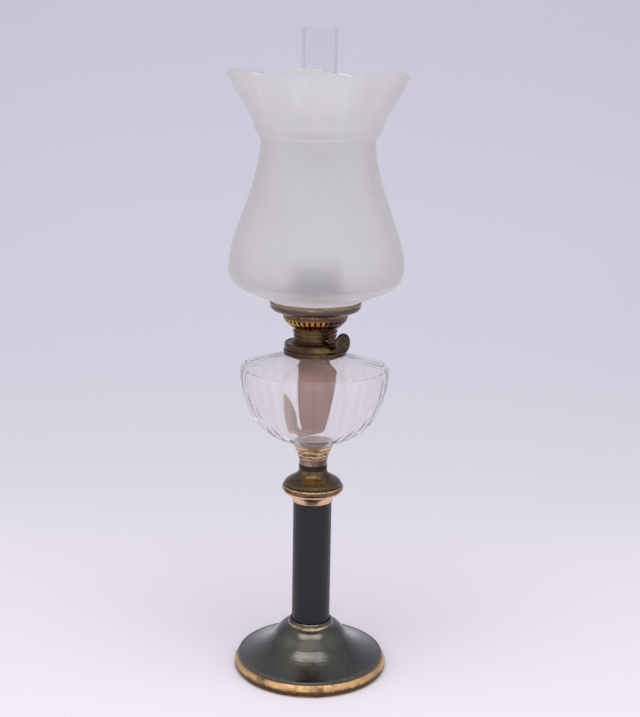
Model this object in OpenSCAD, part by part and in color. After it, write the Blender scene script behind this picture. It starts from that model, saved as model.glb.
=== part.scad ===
// Kerosene table lamp: a domed foot and a black column carry a ribbed clear fount with a flat-wick burner,
// a tall chimney and a frosted shade with a waved rim.
// Millimetres, +Z up, the foot stands on z = 0 and the front faces -Y.

/* [Foot] */
// Diameter over the rolled rim
foot_d = 173; // [150:1:200]
// Height of the rolled rim
rim_h = 13.5; // [10:0.5:16]
// How far the rim stands out past the edge of the dome
rim_bulge = 4; // [2.5:0.5:6]
// Height of the top of the dome above the table
dome_h = 51; // [44:1:60]
// Diameter of the dome where its bell is steepest
bell_d = 82; // [74:1:96]
// Width of the bead that stands round the column
seat_bead_w = 4; // [3:0.5:7]
// Height of the bead that stands round the column
seat_bead_h = 6; // [4:0.5:9]
// Thickness of the spun sheet
foot_wall = 1.6; // [1.2:0.2:2.4]

/* [Ballast and tie rod] */
// Diameter of the iron ballast
ballast_d = 124; // [90:2:130]
// Thickness of the iron ballast
ballast_t = 10; // [6:1:12]
// Diameter of the rod that holds the stand together
rod_d = 8; // [6:1:10]
// Width across the flats of the rod's nuts
nut_w = 14; // [12:1:17]
// Height of the rod's nuts
nut_h = 5.5; // [4:0.5:7]

/* [Column] */
// Diameter of the column
column_d = 43; // [36:1:50]
// Length of the column
column_l = 150; // [110:2:190]
// Wall of the column
column_wall = 3; // [2:0.5:5]
// Gap between the column and the rings round its ends
column_gap = 0.3; // [0.2:0.1:0.6]

/* [Capital and fount mount] */
// Height of the polished capital
capital_h = 11.9; // [9:0.1:16]
// Diameter of the capital's top
capital_d = 63; // [58:1:70]
// How far the capital comes down over the column
capital_skirt = 5; // [3:0.5:7]
// Diameter over the round bead on the capital
bead_d = 68.6; // [66:0.2:76]
// Height of the round bead
bead_h = 8; // [6:0.5:10]
// Diameter of the fount mount at its lower edge
mount_d = 63; // [56:1:66]
// Height of the fount mount
mount_h = 17; // [14:1:24]
// Diameter of the neck under the fount
neck_d = 31; // [28:1:36]
// Height of the neck ring
ring_h = 6; // [5:0.5:9]

/* [Fount] */
// Height of the cup that holds the fount
cup_h = 22.5; // [18:0.5:28]
// Diameter of the cup's rim
cup_d = 46.4; // [42:0.4:52]
// Sheet thickness of the cup
cup_wall = 1.4; // [1:0.2:2]
// Largest diameter of the fount
fount_d = 162.6; // [145:0.2:180]
// Height of the fount's bowl, from the cup to the shoulder
bowl_h = 88; // [76:1:100]
// Rise of the fount's shoulder, up to its neck
shoulder_rise = 14; // [10:1:20]
// Glass thickness of the fount
fount_wall = 3.4; // [2.6:0.2:4.4]
// Number of ribs round the fount
rib_count = 30; // [18:2:30]
// Height of the ribs over the valleys
rib_depth = 1.2; // [0.6:0.2:2.4]
// Height of the fount's floor above the cup
fount_floor = 4; // [3:0.5:8]
// Diameter of the glass neck
glass_neck_d = 64; // [62:0.5:67]
// Height of the glass neck
glass_neck_h = 4; // [3:0.5:6]

/* [Collar] */
// Height of the brass collar
collar_h = 5.3; // [4.5:0.1:8]
// Wall of the brass collar
collar_wall = 1.1; // [0.8:0.1:1.6]
// Thickness of the plaster bed on each side of the glass neck
collar_bed = 1.3; // [1:0.1:2]

/* [Burner] */
// Turn of the burner about the lamp's axis, which sets where the winder points
burner_turn = -40; // [-180:1:180]
// Diameter of the burner's flange
flange_d = 66.6; // [62:0.2:72]
// Height of the burner's flange
flange_h = 7.5; // [6:0.5:10]
// Length of the screw skirt inside the collar
skirt_l = 8.5; // [6:0.5:12]
// Gap between the burner's neck and the ends of the wick tube
throat_gap = 0.6; // [0.4:0.1:2]
// Height of the burner's neck
throat_h = 15.5; // [13:0.5:22]
// Sheet thickness of the burner
burner_wall = 1.2; // [1:0.1:1.6]
// Diameter of the pierced basket at its top
basket_d = 70.4; // [66:0.4:76]
// Height of the pierced basket
basket_h = 17; // [14:0.5:22]
// Number of pierced holes in each row
hole_count = 36; // [24:2:40]
// Diameter of a pierced hole
hole_d = 2.2; // [1.6:0.1:2.6]
// Height of the holes in the upper row, which are longer than they are wide
hole_l = 3.4; // [2.6:0.2:4]

/* [Wick and winder] */
// Width of the wick
wick_w = 40; // [30:1:44]
// Thickness of the wick
wick_t = 3; // [2:0.2:3.4]
// Gap between the wick and its tube
wick_gap = 0.4; // [0.3:0.05:0.6]
// Sheet thickness of the wick tube
tube_wall = 0.8; // [0.6:0.1:1.2]
// Height of the wick tube above the gallery's plate
tube_top_h = 25; // [20:1:27]
// Height of the wick above its tube
wick_show = 3; // [1:0.5:5]
// How far the wick can be wound up
wick_rise = 12; // [8:1:14]
// How far each edge of the wick spreads below the burner
wick_spread = 0.8; // [0:0.1:1.5]
// How far the wick hangs to the right of the lamp's axis
wick_side = 3; // [0:0.5:4]
// Length over which the wick turns to the front, below the burner
wick_turn_l = 14; // [12:1:20]
// Height of the wick's fold above the cup
fold_h = 23; // [22.5:0.5:40]
// Radius of the wick's fold
fold_r = 10; // [8:0.5:10]
// Length of the wick's tail above the fold
tail_l = 32; // [20:1:36]
// Width of the wick's tail at the fold
tail_w = 16; // [10:1:17]
// How far the tail leans out
tail_lean = 2.5; // [0:0.5:3]
// Diameter of the winder's shaft
shaft_d = 3.2; // [2.4:0.2:4]
// Running gap round the shaft
shaft_gap = 0.05; // [0.02:0.01:0.1]
// Height of the shaft above the burner's flange
shaft_h = 4.5; // [4:0.5:7]
// Diameter over the teeth of the spur wheels
wheel_d = 8.4; // [7:0.2:9]
// Number of teeth on a spur wheel
tooth_count = 12; // [9:1:16]
// Diameter of the winder's knob
knob_d = 22.5; // [18:0.5:26]
// Thickness of the knob
knob_t = 3.6; // [3:0.2:5]
// Distance from the lamp's axis to the middle of the knob
knob_reach = 43.5; // [42:0.5:56]

/* [Gallery] */
// Sheet thickness of the gallery
gallery_wall = 1; // [0.8:0.1:1.4]
// Height of the gallery's rim above its floor
gallery_rim_h = 8; // [6:0.5:12]
// Radius of the round corner between the gallery's floor and its rim
gallery_corner = 6.5; // [3:0.5:8]
// Gap between the shade and the gallery's rim
shade_gap = 2; // [1:0.25:3]
// Gap between the gallery's skirt and the basket
skirt_gap = 0.5; // [0.35:0.05:0.8]
// Width of the ledge that the chimney's plate lies on
ledge_w = 3.5; // [2.5:0.5:5]
// Gap between the wick tube's ends and the plate
plate_gap = 1.1; // [0.8:0.1:2]
// Number of spring fingers round the chimney
finger_count = 6; // [4:1:8]
// Height of the spring fingers
finger_h = 14; // [10:1:18]
// Gap between the fingers and the chimney
finger_gap = 0.5; // [0.35:0.05:0.8]
// Height of the deflector above the gallery's plate
deflector_h = 46; // [42:1:50]
// Gap between the deflector and the chimney
deflector_gap = 1.2; // [0.8:0.1:2]
// Gap at each end of the deflector's slot, beside the wick
slot_gap = 1; // [0.6:0.1:1.4]
// Width of the deflector's slot
slot_w = 9; // [7:0.5:11]

/* [Chimney] */
// Diameter of the chimney's tube
chimney_d = 36.5; // [32:0.5:40]
// Length of the chimney
chimney_l = 297; // [260:1:330]
// How far the chimney's bulge stands out past its base
chimney_bulge = 2.5; // [1:0.5:4]
// Glass thickness of the chimney
chimney_wall = 1.8; // [1.4:0.1:2.2]

/* [Shade] */
// Diameter of the shade's fitter
fitter_d = 93; // [90:0.5:100]
// Height of the shade
shade_h = 247.5; // [215:0.5:280]
// Largest diameter of the shade's bulb
bulb_d = 188.6; // [165:0.2:205]
// Height of the bulb's largest diameter
bulb_h = 46; // [40:1:56]
// Diameter of the shade's waist
waist_d = 122.4; // [108:0.2:136]
// Height of the shade's waist
waist_h = 181; // [160:1:196]
// Diameter of the shade's mouth
mouth_d = 193; // [170:0.5:206]
// Glass thickness of the shade
shade_wall = 2.6; // [2:0.2:3.4]
// Number of waves round the mouth
wave_count = 6; // [4:1:8]
// Height of the waves at the mouth
wave_h = 7.4; // [0:0.2:10]
// Reach of the waves at the mouth
wave_out = 4; // [0:0.2:6]
// Turn of the waves about the lamp's axis
wave_turn = 23; // [0:1:60]

/* [Hidden] */
$fn = 96;

// Shared radii
rod_r = rod_d / 2;
rod_hole_r = rod_r + 0.4;
nut_r = nut_w / 2 / cos(30);
column_r = column_d / 2;
seat_r = column_r + column_gap;
foot_edge_r = foot_d / 2 - rim_bulge;
fount_r = fount_d / 2;
neck_r = neck_d / 2;
stud_r = 6;

// Heights, from the table up
column_z = dome_h + foot_wall;
column_top = column_z + column_l;
capital_z = column_top - capital_skirt;
capital_top = capital_z + capital_h;
capital_web = 2;
bead_top = capital_top + bead_h;
mount_top = bead_top + mount_h;
ring_top = mount_top + ring_h;
stud_z = mount_top - 4.5;
cup_floor = ring_top + 3;
cup_top = ring_top + cup_h;
stem_z = cup_floor + 3;
plaster_top = cup_top - 2;
bowl_top = cup_top + bowl_h;
glass_neck_z = bowl_top + shoulder_rise;
glass_neck_top = glass_neck_z + glass_neck_h;
collar_z = glass_neck_z + 0.7;
collar_top = collar_z + collar_h;
flange_top = collar_top + flange_h;
shaft_z = flange_top + shaft_h;
throat_top = flange_top + throat_h;
basket_top = throat_top + basket_h;
ledge_top = basket_top + gallery_wall;
plate_top = ledge_top + gallery_wall;
dish_top = plate_top + gallery_wall;
tube_top = plate_top + tube_top_h;
wick_top = tube_top + wick_show;

// Ballast and tie rod
recess_h = 8;
ballast_z = 4.5;
hub_r = rod_hole_r + 6;
washer_t = 1.6;
washer_r = nut_r + 2;
washer_z = ballast_z + recess_h - washer_t;
rod_z = washer_z - nut_h - 1.5;
rod_top = capital_z + capital_skirt + capital_web + nut_h + 3;

// Fount, its collar and the way through them
stem_r = neck_r - cup_wall - 3.2;
stem_top_r = cup_d / 2 - cup_wall - 1.4;
stem_top = cup_top - 0.4;
flare_z = plaster_top - 5;
plaster_lip_r = stem_r + (stem_top_r - stem_r) * (plaster_top - flare_z) / (stem_top - flare_z) + 0.3;
glass_neck_r = glass_neck_d / 2;
glass_bore_r = glass_neck_r - 2.6;
sleeve_r = glass_bore_r - collar_bed;
collar_bore_r = sleeve_r - collar_wall;
collar_r = glass_neck_r + collar_bed + collar_wall;

// Burner
skirt_r = collar_bore_r - 0.4;
skirt_bore_r = skirt_r - 1.8;
flange_r = flange_d / 2;
basket_r = basket_d / 2;
tube_in = [wick_w / 2 + wick_gap, wick_t / 2 + wick_gap];
tube_out = [tube_in[0] + tube_wall, tube_in[1] + tube_wall];
tube_z = collar_top - 1;
throat_bore_r = tube_out[0] + throat_gap;
throat_r = throat_bore_r + burner_wall;

// Winder
shaft_r = shaft_d / 2;
wheel_r = wheel_d / 2;
shaft_y = wick_t / 2 + 0.3 + wheel_r;
bush_r = shaft_r + 1.4;
wheel_w = 2.4;
wheel_x = wick_w / 4;
bush_in = sqrt(pow(throat_bore_r, 2) - pow(shaft_y + bush_r, 2)) - 1;
bush_out = throat_r + 3;

// Gallery
fitter_r = fitter_d / 2;
rim_bore_r = fitter_r + shade_gap;
gallery_r = rim_bore_r + gallery_wall;
corner_r = min(gallery_corner, gallery_rim_h - 1);
corner_in_r = corner_r - gallery_wall;
corner_x = gallery_r - corner_r;
dish_flat_r = corner_x - 0.2;
fitter_lift = corner_in_r - sqrt(pow(corner_in_r, 2) - pow(max(0, fitter_r - corner_x), 2)) + 0.03;
gallery_skirt_r = basket_r - burner_wall - skirt_gap;
gallery_bore_r = gallery_skirt_r - gallery_wall;
plate_r = gallery_bore_r + ledge_w;
dish_r = plate_r + 0.4;
draught_r = tube_out[0] + plate_gap;
deflector_wall = 0.8;
deflector_r = draught_r + 0.4 + deflector_wall;
chimney_base_r = deflector_r + deflector_gap + chimney_wall;
slot_l = wick_w + 2 * slot_gap;
finger_r = chimney_base_r + finger_gap;
finger_t = 0.7;

// Points on a circle's arc round c
function arc(c, r, a0, a1, n = 8) =
    [for (i = [0 : n]) c + r * [cos(a0 + (a1 - a0) * i / n), sin(a0 + (a1 - a0) * i / n)]];

// Points on the curve of four control points
function curve(a, b, c, d, n = 10) =
    [for (i = [0 : n]) let (t = i / n, s = 1 - t)
        s * s * s * a + 3 * s * s * t * b + 3 * s * t * t * c + t * t * t * d];

// Point number i of p, held at the ends
function held(p, i) = p[max(0, min(len(p) - 1, i))];

// A smooth path through the points p, with n steps between each two
function through(p, n = 2) =
    concat([for (i = [0 : len(p) - 2]) for (k = [0 : n - 1]) between(p, i, k / n)], [p[len(p) - 1]]);
function between(p, i, t) =
    let (a = held(p, i - 1), b = held(p, i), c = held(p, i + 1), d = held(p, i + 2))
    0.5 * (2 * b + (c - a) * t + (2 * a - 5 * b + 4 * c - d) * t * t + (3 * b - a - 3 * c + d) * t * t * t);

// The path p moved to its left by t
function beside(p, t) =
    [for (i = [0 : len(p) - 1]) let (d = held(p, i + 1) - held(p, i - 1)) p[i] + t * [-d[1], d[0]] / norm(d)];

// The list p from its end to its start
function backward(p) = [for (i = [len(p) - 1 : -1 : 0]) p[i]];

// A rectangle of half sizes h with corners of radius r
function rounded(h, r) =
    concat(arc([h[0] - r, h[1] - r], r, 0, 90, 4), arc([r - h[0], h[1] - r], r, 90, 180, 4),
           arc([r - h[0], r - h[1]], r, 180, 270, 4), arc([h[0] - r, r - h[1]], r, 270, 360, 4));

// A solid turned from the outline p
module turned(p) {
    rotate_extrude()
        polygon(p);
}

// A solid between rows of points, with n points to a row. An open set of rows ends in flat caps.
module waved(rows, n, waves, turn, ring) {
    m = len(rows);
    points = concat(
        [for (q = rows) for (j = [0 : n - 1])
            let (a = 360 * j / n, w = cos(waves * (a - turn)), r = q[0] + q[2] * w)
            [r * cos(a), r * sin(a), q[1] + q[3] * w]],
        [[0, 0, rows[0][1]], [0, 0, rows[m - 1][1]]]);
    sides = [for (i = [0 : ring ? m - 1 : m - 2]) for (j = [0 : n - 1])
        let (a = i * n + j, b = i * n + (j + 1) % n, k = (i + 1) % m * n, c = k + (j + 1) % n, d = k + j)
        each [[a, c, b], [a, d, c]]];
    caps = ring ? [] : [for (j = [0 : n - 1]) let (k = (m - 1) * n)
        each [[m * n, j, (j + 1) % n], [m * n + 1, k + (j + 1) % n, k + j]]];
    polyhedron(points = ring ? [for (i = [0 : m * n - 1]) points[i]] : points, faces = concat(sides, caps));
}

// Puts a piece of the winder on its shaft, with +X along the shaft and out to the knob
module on_shaft(x) {
    rotate([0, 0, burner_turn])
        translate([x, -shaft_y, shaft_z])
            rotate([0, 90, 0])
                children();
}

// A hexagon nut with its lower face at z
module nut(z) {
    translate([0, 0, z])
        difference() {
            cylinder(r = nut_r, h = nut_h, $fn = 6);
            translate([0, 0, -1])
                cylinder(r = rod_r, h = nut_h + 2);
        }
}

// The rolled brass hoop that the lamp stands on
module foot_rim() {
    edge = foot_edge_r;
    outer = foot_d / 2;
    color("#b08d57")
        turned(concat([[edge - 3, 0], [outer - 2.5, 0]],
                      curve([outer - 2, 0.2], [outer + 1.1, 2.2], [outer + 1.1, rim_h - 4.5], [edge, rim_h], 10),
                      [[edge - 3, rim_h]]));
}

// The spun dome, with the web that carries the column and the bead round it
module foot() {
    top_r = seat_r + seat_bead_w;
    e = foot_edge_r;
    rise = dome_h - rim_h;
    bell_r = bell_d / 2;
    bell_z = dome_h - 0.32 * rise;
    dome = concat([[e, rim_h]], arc([e - 1.6, rim_h + 1.2], 1.6, 10, 70, 3),
                  curve([e - 4, rim_h + 3], [e - 24.5, rim_h + 0.23 * rise], [bell_r + 5, bell_z - 8],
                        [bell_r, bell_z], 10),
                  curve([bell_r - 0.7, bell_z + 1.1], [bell_r - 3.5, bell_z + 5.5], [top_r + 7.2, dome_h - 1.5],
                        [top_r + 2.6, dome_h], 8));
    bead = concat([[top_r + 0.6, dome_h]],
                  curve([top_r, dome_h + 0.5], [top_r, dome_h + 3.6], [seat_r + 2.2, dome_h + seat_bead_h],
                        [seat_r + 1, dome_h + seat_bead_h], 6));
    inner = backward(beside(dome, foot_wall));
    color("#46443c")
        turned(concat(dome, bead,
                      [[seat_r, dome_h + seat_bead_h - 1], [seat_r, column_z], [rod_hole_r, column_z],
                       [rod_hole_r, dome_h], [top_r - 2, dome_h]],
                      [for (i = [1 : len(inner) - 2]) inner[i]], [[e - foot_wall, rim_h]]));
}

// The cast ballast, hung from the web by its hub
module ballast() {
    r = ballast_d / 2;
    z = ballast_z;
    color("#3a3b3d")
        turned([[washer_r + 1, z], [r - 2, z], [r, z + 2], [r, z + ballast_t - 2], [r - 3, z + ballast_t],
                [hub_r + 14, z + ballast_t + 1], [hub_r, z + ballast_t + 12], [hub_r, dome_h],
                [rod_hole_r, dome_h], [rod_hole_r, z + recess_h], [washer_r + 1, z + recess_h]]);
}

// The rod that draws the foot, the column and the capital together
module tie_rod() {
    color("#8a8c8e")
        translate([0, 0, rod_z])
            cylinder(r = rod_r, h = rod_top - rod_z);
}

// The washer between the ballast and its nut
module tie_washer() {
    color("#8a8c8e")
        turned([[rod_r, washer_z], [washer_r, washer_z], [washer_r, washer_z + washer_t],
                [rod_r, washer_z + washer_t]]);
}

// The nut in the ballast's recess
module tie_nut() {
    color("#77797b")
        nut(washer_z - nut_h);
}

// The black column
module column() {
    r = column_r;
    color("#252427")
        turned([[r - column_wall, column_z], [r, column_z], [r, column_top], [r - column_wall, column_top]]);
}

// The polished capital, with a skirt over the column and a web on its end
module capital() {
    r = seat_r + 0.9;
    top_r = capital_d / 2;
    z = capital_z;
    step_z = z + 0.5 * capital_h;
    step_r = r + 0.38 * (top_r - r);
    color("#c9a06a")
        turned(concat([[seat_r, z], [r - 0.3, z]],
                      curve([r, z + 0.3], [r + 0.2, z + 3], [step_r - 1.6, step_z - 3], [step_r, step_z - 0.6], 6),
                      [[step_r + 0.9, step_z], [step_r + 0.9, step_z + 1]],
                      curve([step_r + 1.4, step_z + 1.2], [step_r + 3, step_z + 2.4], [top_r - 2, capital_top - 2.4],
                            [top_r, capital_top - 1], 6),
                      [[top_r, capital_top], [top_r - 5, capital_top], [seat_r - 1, column_top + capital_web],
                       [rod_hole_r, column_top + capital_web], [rod_hole_r, column_top], [seat_r, column_top]]));
}

// The nut that holds the capital down
module capital_nut() {
    color("#77797b")
        nut(column_top + capital_web);
}

// The round bead between the capital and the fount mount
module capital_bead() {
    h = bead_h / 2;
    r = bead_d / 2 - h;
    color("#8f7446")
        turned(concat([[r - 5, capital_top], [r - 0.1, capital_top]],
                      arc([r, capital_top + h], h, -88, 88, 12),
                      [[r - 0.1, bead_top], [r - 5, bead_top]]));
}

// The spun mount, a low dome that sweeps up to the neck
module fount_mount() {
    r = mount_d / 2;
    z = bead_top;
    face = concat([[r, z]],
                  curve([r, z + 0.8], [r + 0.2, z + 3.4], [r - 2.6, z + 4.6], [neck_r + 7.5, z + 0.47 * mount_h], 8),
                  curve([neck_r + 6.6, z + 0.5 * mount_h], [neck_r + 2.4, z + 0.62 * mount_h],
                        [neck_r, z + 0.8 * mount_h], [neck_r, mount_top], 8));
    inner = backward(beside(face, 1.5));
    color("#5d4a30")
        turned(concat(face,
                      [[stud_r, mount_top], [stud_r, stud_z], [2, stud_z], [2, stud_z - 4], [9, stud_z - 4]],
                      [for (i = [6 : len(inner) - 2]) inner[i]], [[r - 1.5, z]]));
}

// The beaded ring at the neck
module neck_ring() {
    h = ring_h / 2;
    color("#5a4830")
        turned(concat([[stud_r, mount_top], [neck_r - 0.4, mount_top]],
                      arc([neck_r - 0.9, mount_top + 0.5 * h + 0.2], 0.5 * h - 0.2, -80, 80, 6),
                      arc([neck_r - 0.9, ring_top - 0.5 * h - 0.2], 0.5 * h - 0.2, -80, 80, 6),
                      [[neck_r - 0.4, ring_top], [stud_r, ring_top]]));
}

// The outer face of the cup
function cup_face() =
    curve([neck_r - 0.2, ring_top], [neck_r - 0.2, ring_top + 0.34 * cup_h],
          [neck_r + 0.4 * (cup_d / 2 - neck_r), cup_top - 0.32 * cup_h], [cup_d / 2, cup_top], 12);

// The points of the path p that lie between two heights
function within(p, low, high) = [for (q = p) if (q[1] > low && q[1] < high) q];

// The flared cup, with the stud that joins it to the mount
module fount_cup() {
    color("#6b5a44")
        turned(concat([[0, stud_z], [stud_r, stud_z], [stud_r, ring_top]], cup_face(),
                      [[cup_d / 2 - 1.2 * cup_wall, cup_top]],
                      within(backward(beside(cup_face(), cup_wall)), cup_floor + 0.5, cup_top - 0.4),
                      [[neck_r - cup_wall - 0.4, cup_floor], [0, cup_floor]]));
}

// The plaster between the cup and the stem of the fount
module cup_plaster() {
    bed = beside(cup_face(), cup_wall + 0.08);
    color("#d8d2c4")
        turned(concat([[0, cup_floor], [neck_r - cup_wall - 0.5, cup_floor]],
                      within(bed, cup_floor + 0.5, plaster_top),
                      [[plaster_lip_r, plaster_top], [stem_r + 0.3, flare_z], [stem_r + 0.3, stem_z], [0, stem_z]]));
}

// A point of the bowl, at a share of its radius and of its height
function bowl_at(share, rise) = [share * fount_r, cup_top + rise * bowl_h];

// The outer face of the fount from the cup's rim up to the neck, without ribs
function bowl_face() =
    concat(through([bowl_at(0.31, 0.022), bowl_at(0.47, 0.092), bowl_at(0.65, 0.188), bowl_at(0.788, 0.31),
                    bowl_at(0.893, 0.484), bowl_at(0.958, 0.67), bowl_at(0.992, 0.84), bowl_at(0.998, 0.93),
                    bowl_at(0.978, 1.0)], 2),
           through([bowl_at(0.93, 1.0) + [0, 1.4], [0.5 * (fount_r + glass_neck_r), bowl_top + 0.47 * shoulder_rise],
                    [glass_neck_r + 2, glass_neck_z - 0.4], [glass_neck_r, glass_neck_z]], 2));

// The ribs fade out at the stem and under the collar
function rib_at(r) = 0.5 * rib_depth * max(0, min(1, (r - glass_neck_r - 1) / 14));

// The ribbed glass fount
module fount() {
    face = bowl_face();
    inner = beside(face, fount_wall);
    stem = [[stem_r, stem_z], [stem_r, flare_z], [stem_top_r, stem_top]];
    color("#dfe4e6", 0.35)
        waved(concat([for (q = stem) [q[0], q[1], 0, 0]],
                     [for (q = face) [q[0], q[1], rib_at(q[0]), 0]],
                     [[glass_neck_r, glass_neck_top, 0, 0], [glass_bore_r, glass_neck_top, 0, 0],
                      [glass_bore_r, glass_neck_z - fount_wall - 0.4, 0, 0]],
                     [for (i = [len(face) - 3 : -2 : 3]) [inner[i][0], inner[i][1], 0, 0]],
                     [[0.2 * fount_r, cup_top + fount_floor, 0, 0]]),
              rib_count * 3, rib_count, 0, false);
}

// The plaster that holds the collar on the glass neck
module collar_plaster() {
    top = glass_neck_top + 0.4;
    bore_r = glass_bore_r - 0.2;
    neck_r = glass_neck_r + 0.2;
    color("#d8d2c4")
        turned([[sleeve_r, collar_z], [bore_r, collar_z], [bore_r, glass_neck_top],
                [neck_r, glass_neck_top], [neck_r, collar_z], [collar_r - collar_wall, collar_z],
                [collar_r - collar_wall, top], [sleeve_r, top]]);
}

// The brass collar, with an outer wall, a web and a screwed sleeve
module fount_collar() {
    top = glass_neck_top + 0.4;
    color("#6e5233")
        turned([[collar_bore_r, collar_z - 4], [sleeve_r, collar_z - 4], [sleeve_r, top],
                [collar_r - collar_wall, top], [collar_r - collar_wall, collar_z], [collar_r, collar_z],
                [collar_r, collar_top - 1], [collar_r - 0.7, collar_top], [collar_bore_r, collar_top]]);
}

// The burner's base: a screwed skirt, a drum-shaped flange, a floor and a beaded throat
module burner_base() {
    r = flange_r;
    z = collar_top;
    t = throat_r;
    b = throat_bore_r;
    color("#5b432b")
        difference() {
            turned(concat([[skirt_bore_r, z - skirt_l], [skirt_r - 0.6, z - skirt_l], [skirt_r, z - skirt_l + 0.6],
                           [skirt_r, z], [r - 0.5, z], [r, z + 0.5]],
                          arc([r - 1.6, flange_top - 1.6], 1.6, 0, 90, 4),
                          [[r - 3, flange_top - 0.7], [t + 4.4, flange_top - 0.7], [t + 3.8, flange_top]],
                          arc([t + 1.3, flange_top + 1.2], 1.2, -40, 100, 6),
                          [[t, flange_top + 2.6], [t, throat_top - 8.6]],
                          arc([t, throat_top - 7.6], 0.9, -80, 80, 6),
                          [[t, throat_top - 6.4], [t + 0.2, throat_top - 4.6]],
                          arc([t + 0.4, throat_top - 3.4], 1.1, -80, 80, 6),
                          [[t + 0.4, throat_top - 1.8], [t + 0.4, throat_top], [b, throat_top],
                           [b, flange_top - burner_wall], [r - burner_wall - 0.8, flange_top - 2 * burner_wall],
                           [r - burner_wall - 0.8, z + 2], [0, z + 2], [0, z], [skirt_bore_r, z]]));
            rotate([0, 0, burner_turn])
                translate([0, 0, z - 1])
                    linear_extrude(4)
                        polygon(rounded(tube_out, 1.4));
            on_shaft(0)
                cylinder(r = bush_r, h = t + 6);
            on_shaft(-t - 6)
                cylinder(r = shaft_r + shaft_gap, h = t + 6);
        }
}

// The flat tube that guides the wick, with a window for each spur wheel
module wick_tube() {
    color("#7a5c37")
        rotate([0, 0, burner_turn])
            difference() {
                translate([0, 0, tube_z])
                    linear_extrude(tube_top - tube_z)
                        polygon(rounded(tube_out, 1.4));
                translate([0, 0, tube_z - 1])
                    linear_extrude(tube_top - tube_z + 2)
                        polygon(rounded(tube_in, 0.6));
                for (x = [-wheel_x, wheel_x])
                    translate([x - wheel_w / 2 - 0.5, -tube_out[1] - 1, shaft_z - wheel_r])
                        cube([wheel_w + 1, tube_wall + 1.5, wheel_d]);
            }
}

// The bush that carries the shaft through the throat
module shaft_bush() {
    color("#8a6a3f")
        difference() {
            on_shaft(bush_in)
                cylinder(r = bush_r, h = bush_out - bush_in);
            on_shaft(bush_in - 1)
                cylinder(r = shaft_r + shaft_gap, h = bush_out - bush_in + 2);
        }
}

// The pierced basket that lets air into the burner, with a rolled top edge
module air_basket() {
    z = throat_top;
    h = basket_h;
    r = basket_r;
    roll_r = 1.1;
    side = curve([throat_r + 2.6, z + 0.6], [throat_r + 7, z + 0.26 * h], [r - 0.4, z + 0.5 * h],
                 [r, z + h - 4.4], 10);
    face = concat([[throat_r + 1.8, z]], side, arc([r - 0.5, z + h - 2.4], roll_r, -50, 50, 6), [[r, z + h]]);
    inner = concat([[r - burner_wall, z + h]], backward(beside(side, burner_wall)));
    lower_z = z + 0.27 * h;
    upper_z = z + 0.58 * h;
    color("#a5693a")
        difference() {
            turned(concat(face, within(inner, z + burner_wall, z + h + 1),
                          [[throat_r + 1, z + burner_wall], [throat_bore_r, z + burner_wall], [throat_bore_r, z]]));
            for (i = [0 : hole_count - 1])
                for (hole_z = [lower_z, upper_z - (hole_l - hole_d) / 2, upper_z + (hole_l - hole_d) / 2])
                    rotate([0, 0, 360 / hole_count * i])
                        translate([throat_r + 2, 0, hole_z])
                            rotate([0, 90, 0])
                                cylinder(r = hole_d / 2, h = r);
        }
}

// The winder's shaft
module winder_shaft() {
    color("#6d5531")
        on_shaft(-throat_r - 1)
            cylinder(r = shaft_r, h = throat_r + 1 + knob_reach + knob_t / 2 + 0.6);
}

// The two spur wheels that drive the wick
module spur_wheels() {
    star = [for (i = [0 : 2 * tooth_count - 1]) let (a = 180 * i / tooth_count)
        (i % 2 == 0 ? wheel_r : 0.78 * wheel_r) * [cos(a), sin(a)]];
    color("#9a7c4b")
        for (x = [-wheel_x, wheel_x])
            difference() {
                on_shaft(x - wheel_w / 2)
                    linear_extrude(wheel_w)
                        polygon(star);
                on_shaft(x - wheel_w)
                    cylinder(r = shaft_r, h = 2 * wheel_w);
            }
}

// The knob, a disc with a rounded edge, a ringed face and a boss
module winder_knob() {
    r = knob_d / 2;
    t = knob_t / 2;
    color("#3d2c20")
        difference() {
            on_shaft(knob_reach)
                turned(concat([[0, -t - 3], [shaft_r + 1.4, -t - 3], [shaft_r + 1.9, -t + 0.4], [r - 2.6, -t + 0.9],
                               [r - 1.8, -t]],
                              curve([r - 0.8, -t], [r + 0.27, -t + 0.2], [r + 0.27, t - 0.2], [r - 0.8, t], 4),
                              [[r - 1.8, t], [r - 2.4, t - 0.7], [0.6 * r, t - 0.5], [0.56 * r, t - 0.1],
                               [0.48 * r, t - 0.1], [0.44 * r, t - 0.5], [0.3 * r, t - 0.5], [0.26 * r, t + 0.2],
                               [0, t + 0.4]]));
            on_shaft(knob_reach - t - 4)
                cylinder(r = shaft_r, h = knob_t + 4.6);
        }
}

// One row across the wick, of half width w, at c, running along d with its width at angle a
function wick_row(c, d, a, w) =
    let (u = [cos(a), sin(a), 0], v = cross(d, u) * wick_t / 2)
    [c + w * u + v, c - w * u + v, c - w * u - v, c + w * u - v];

// A smooth change from 0 to 1
function eased(t) = t * t * (3 - 2 * t);

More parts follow.
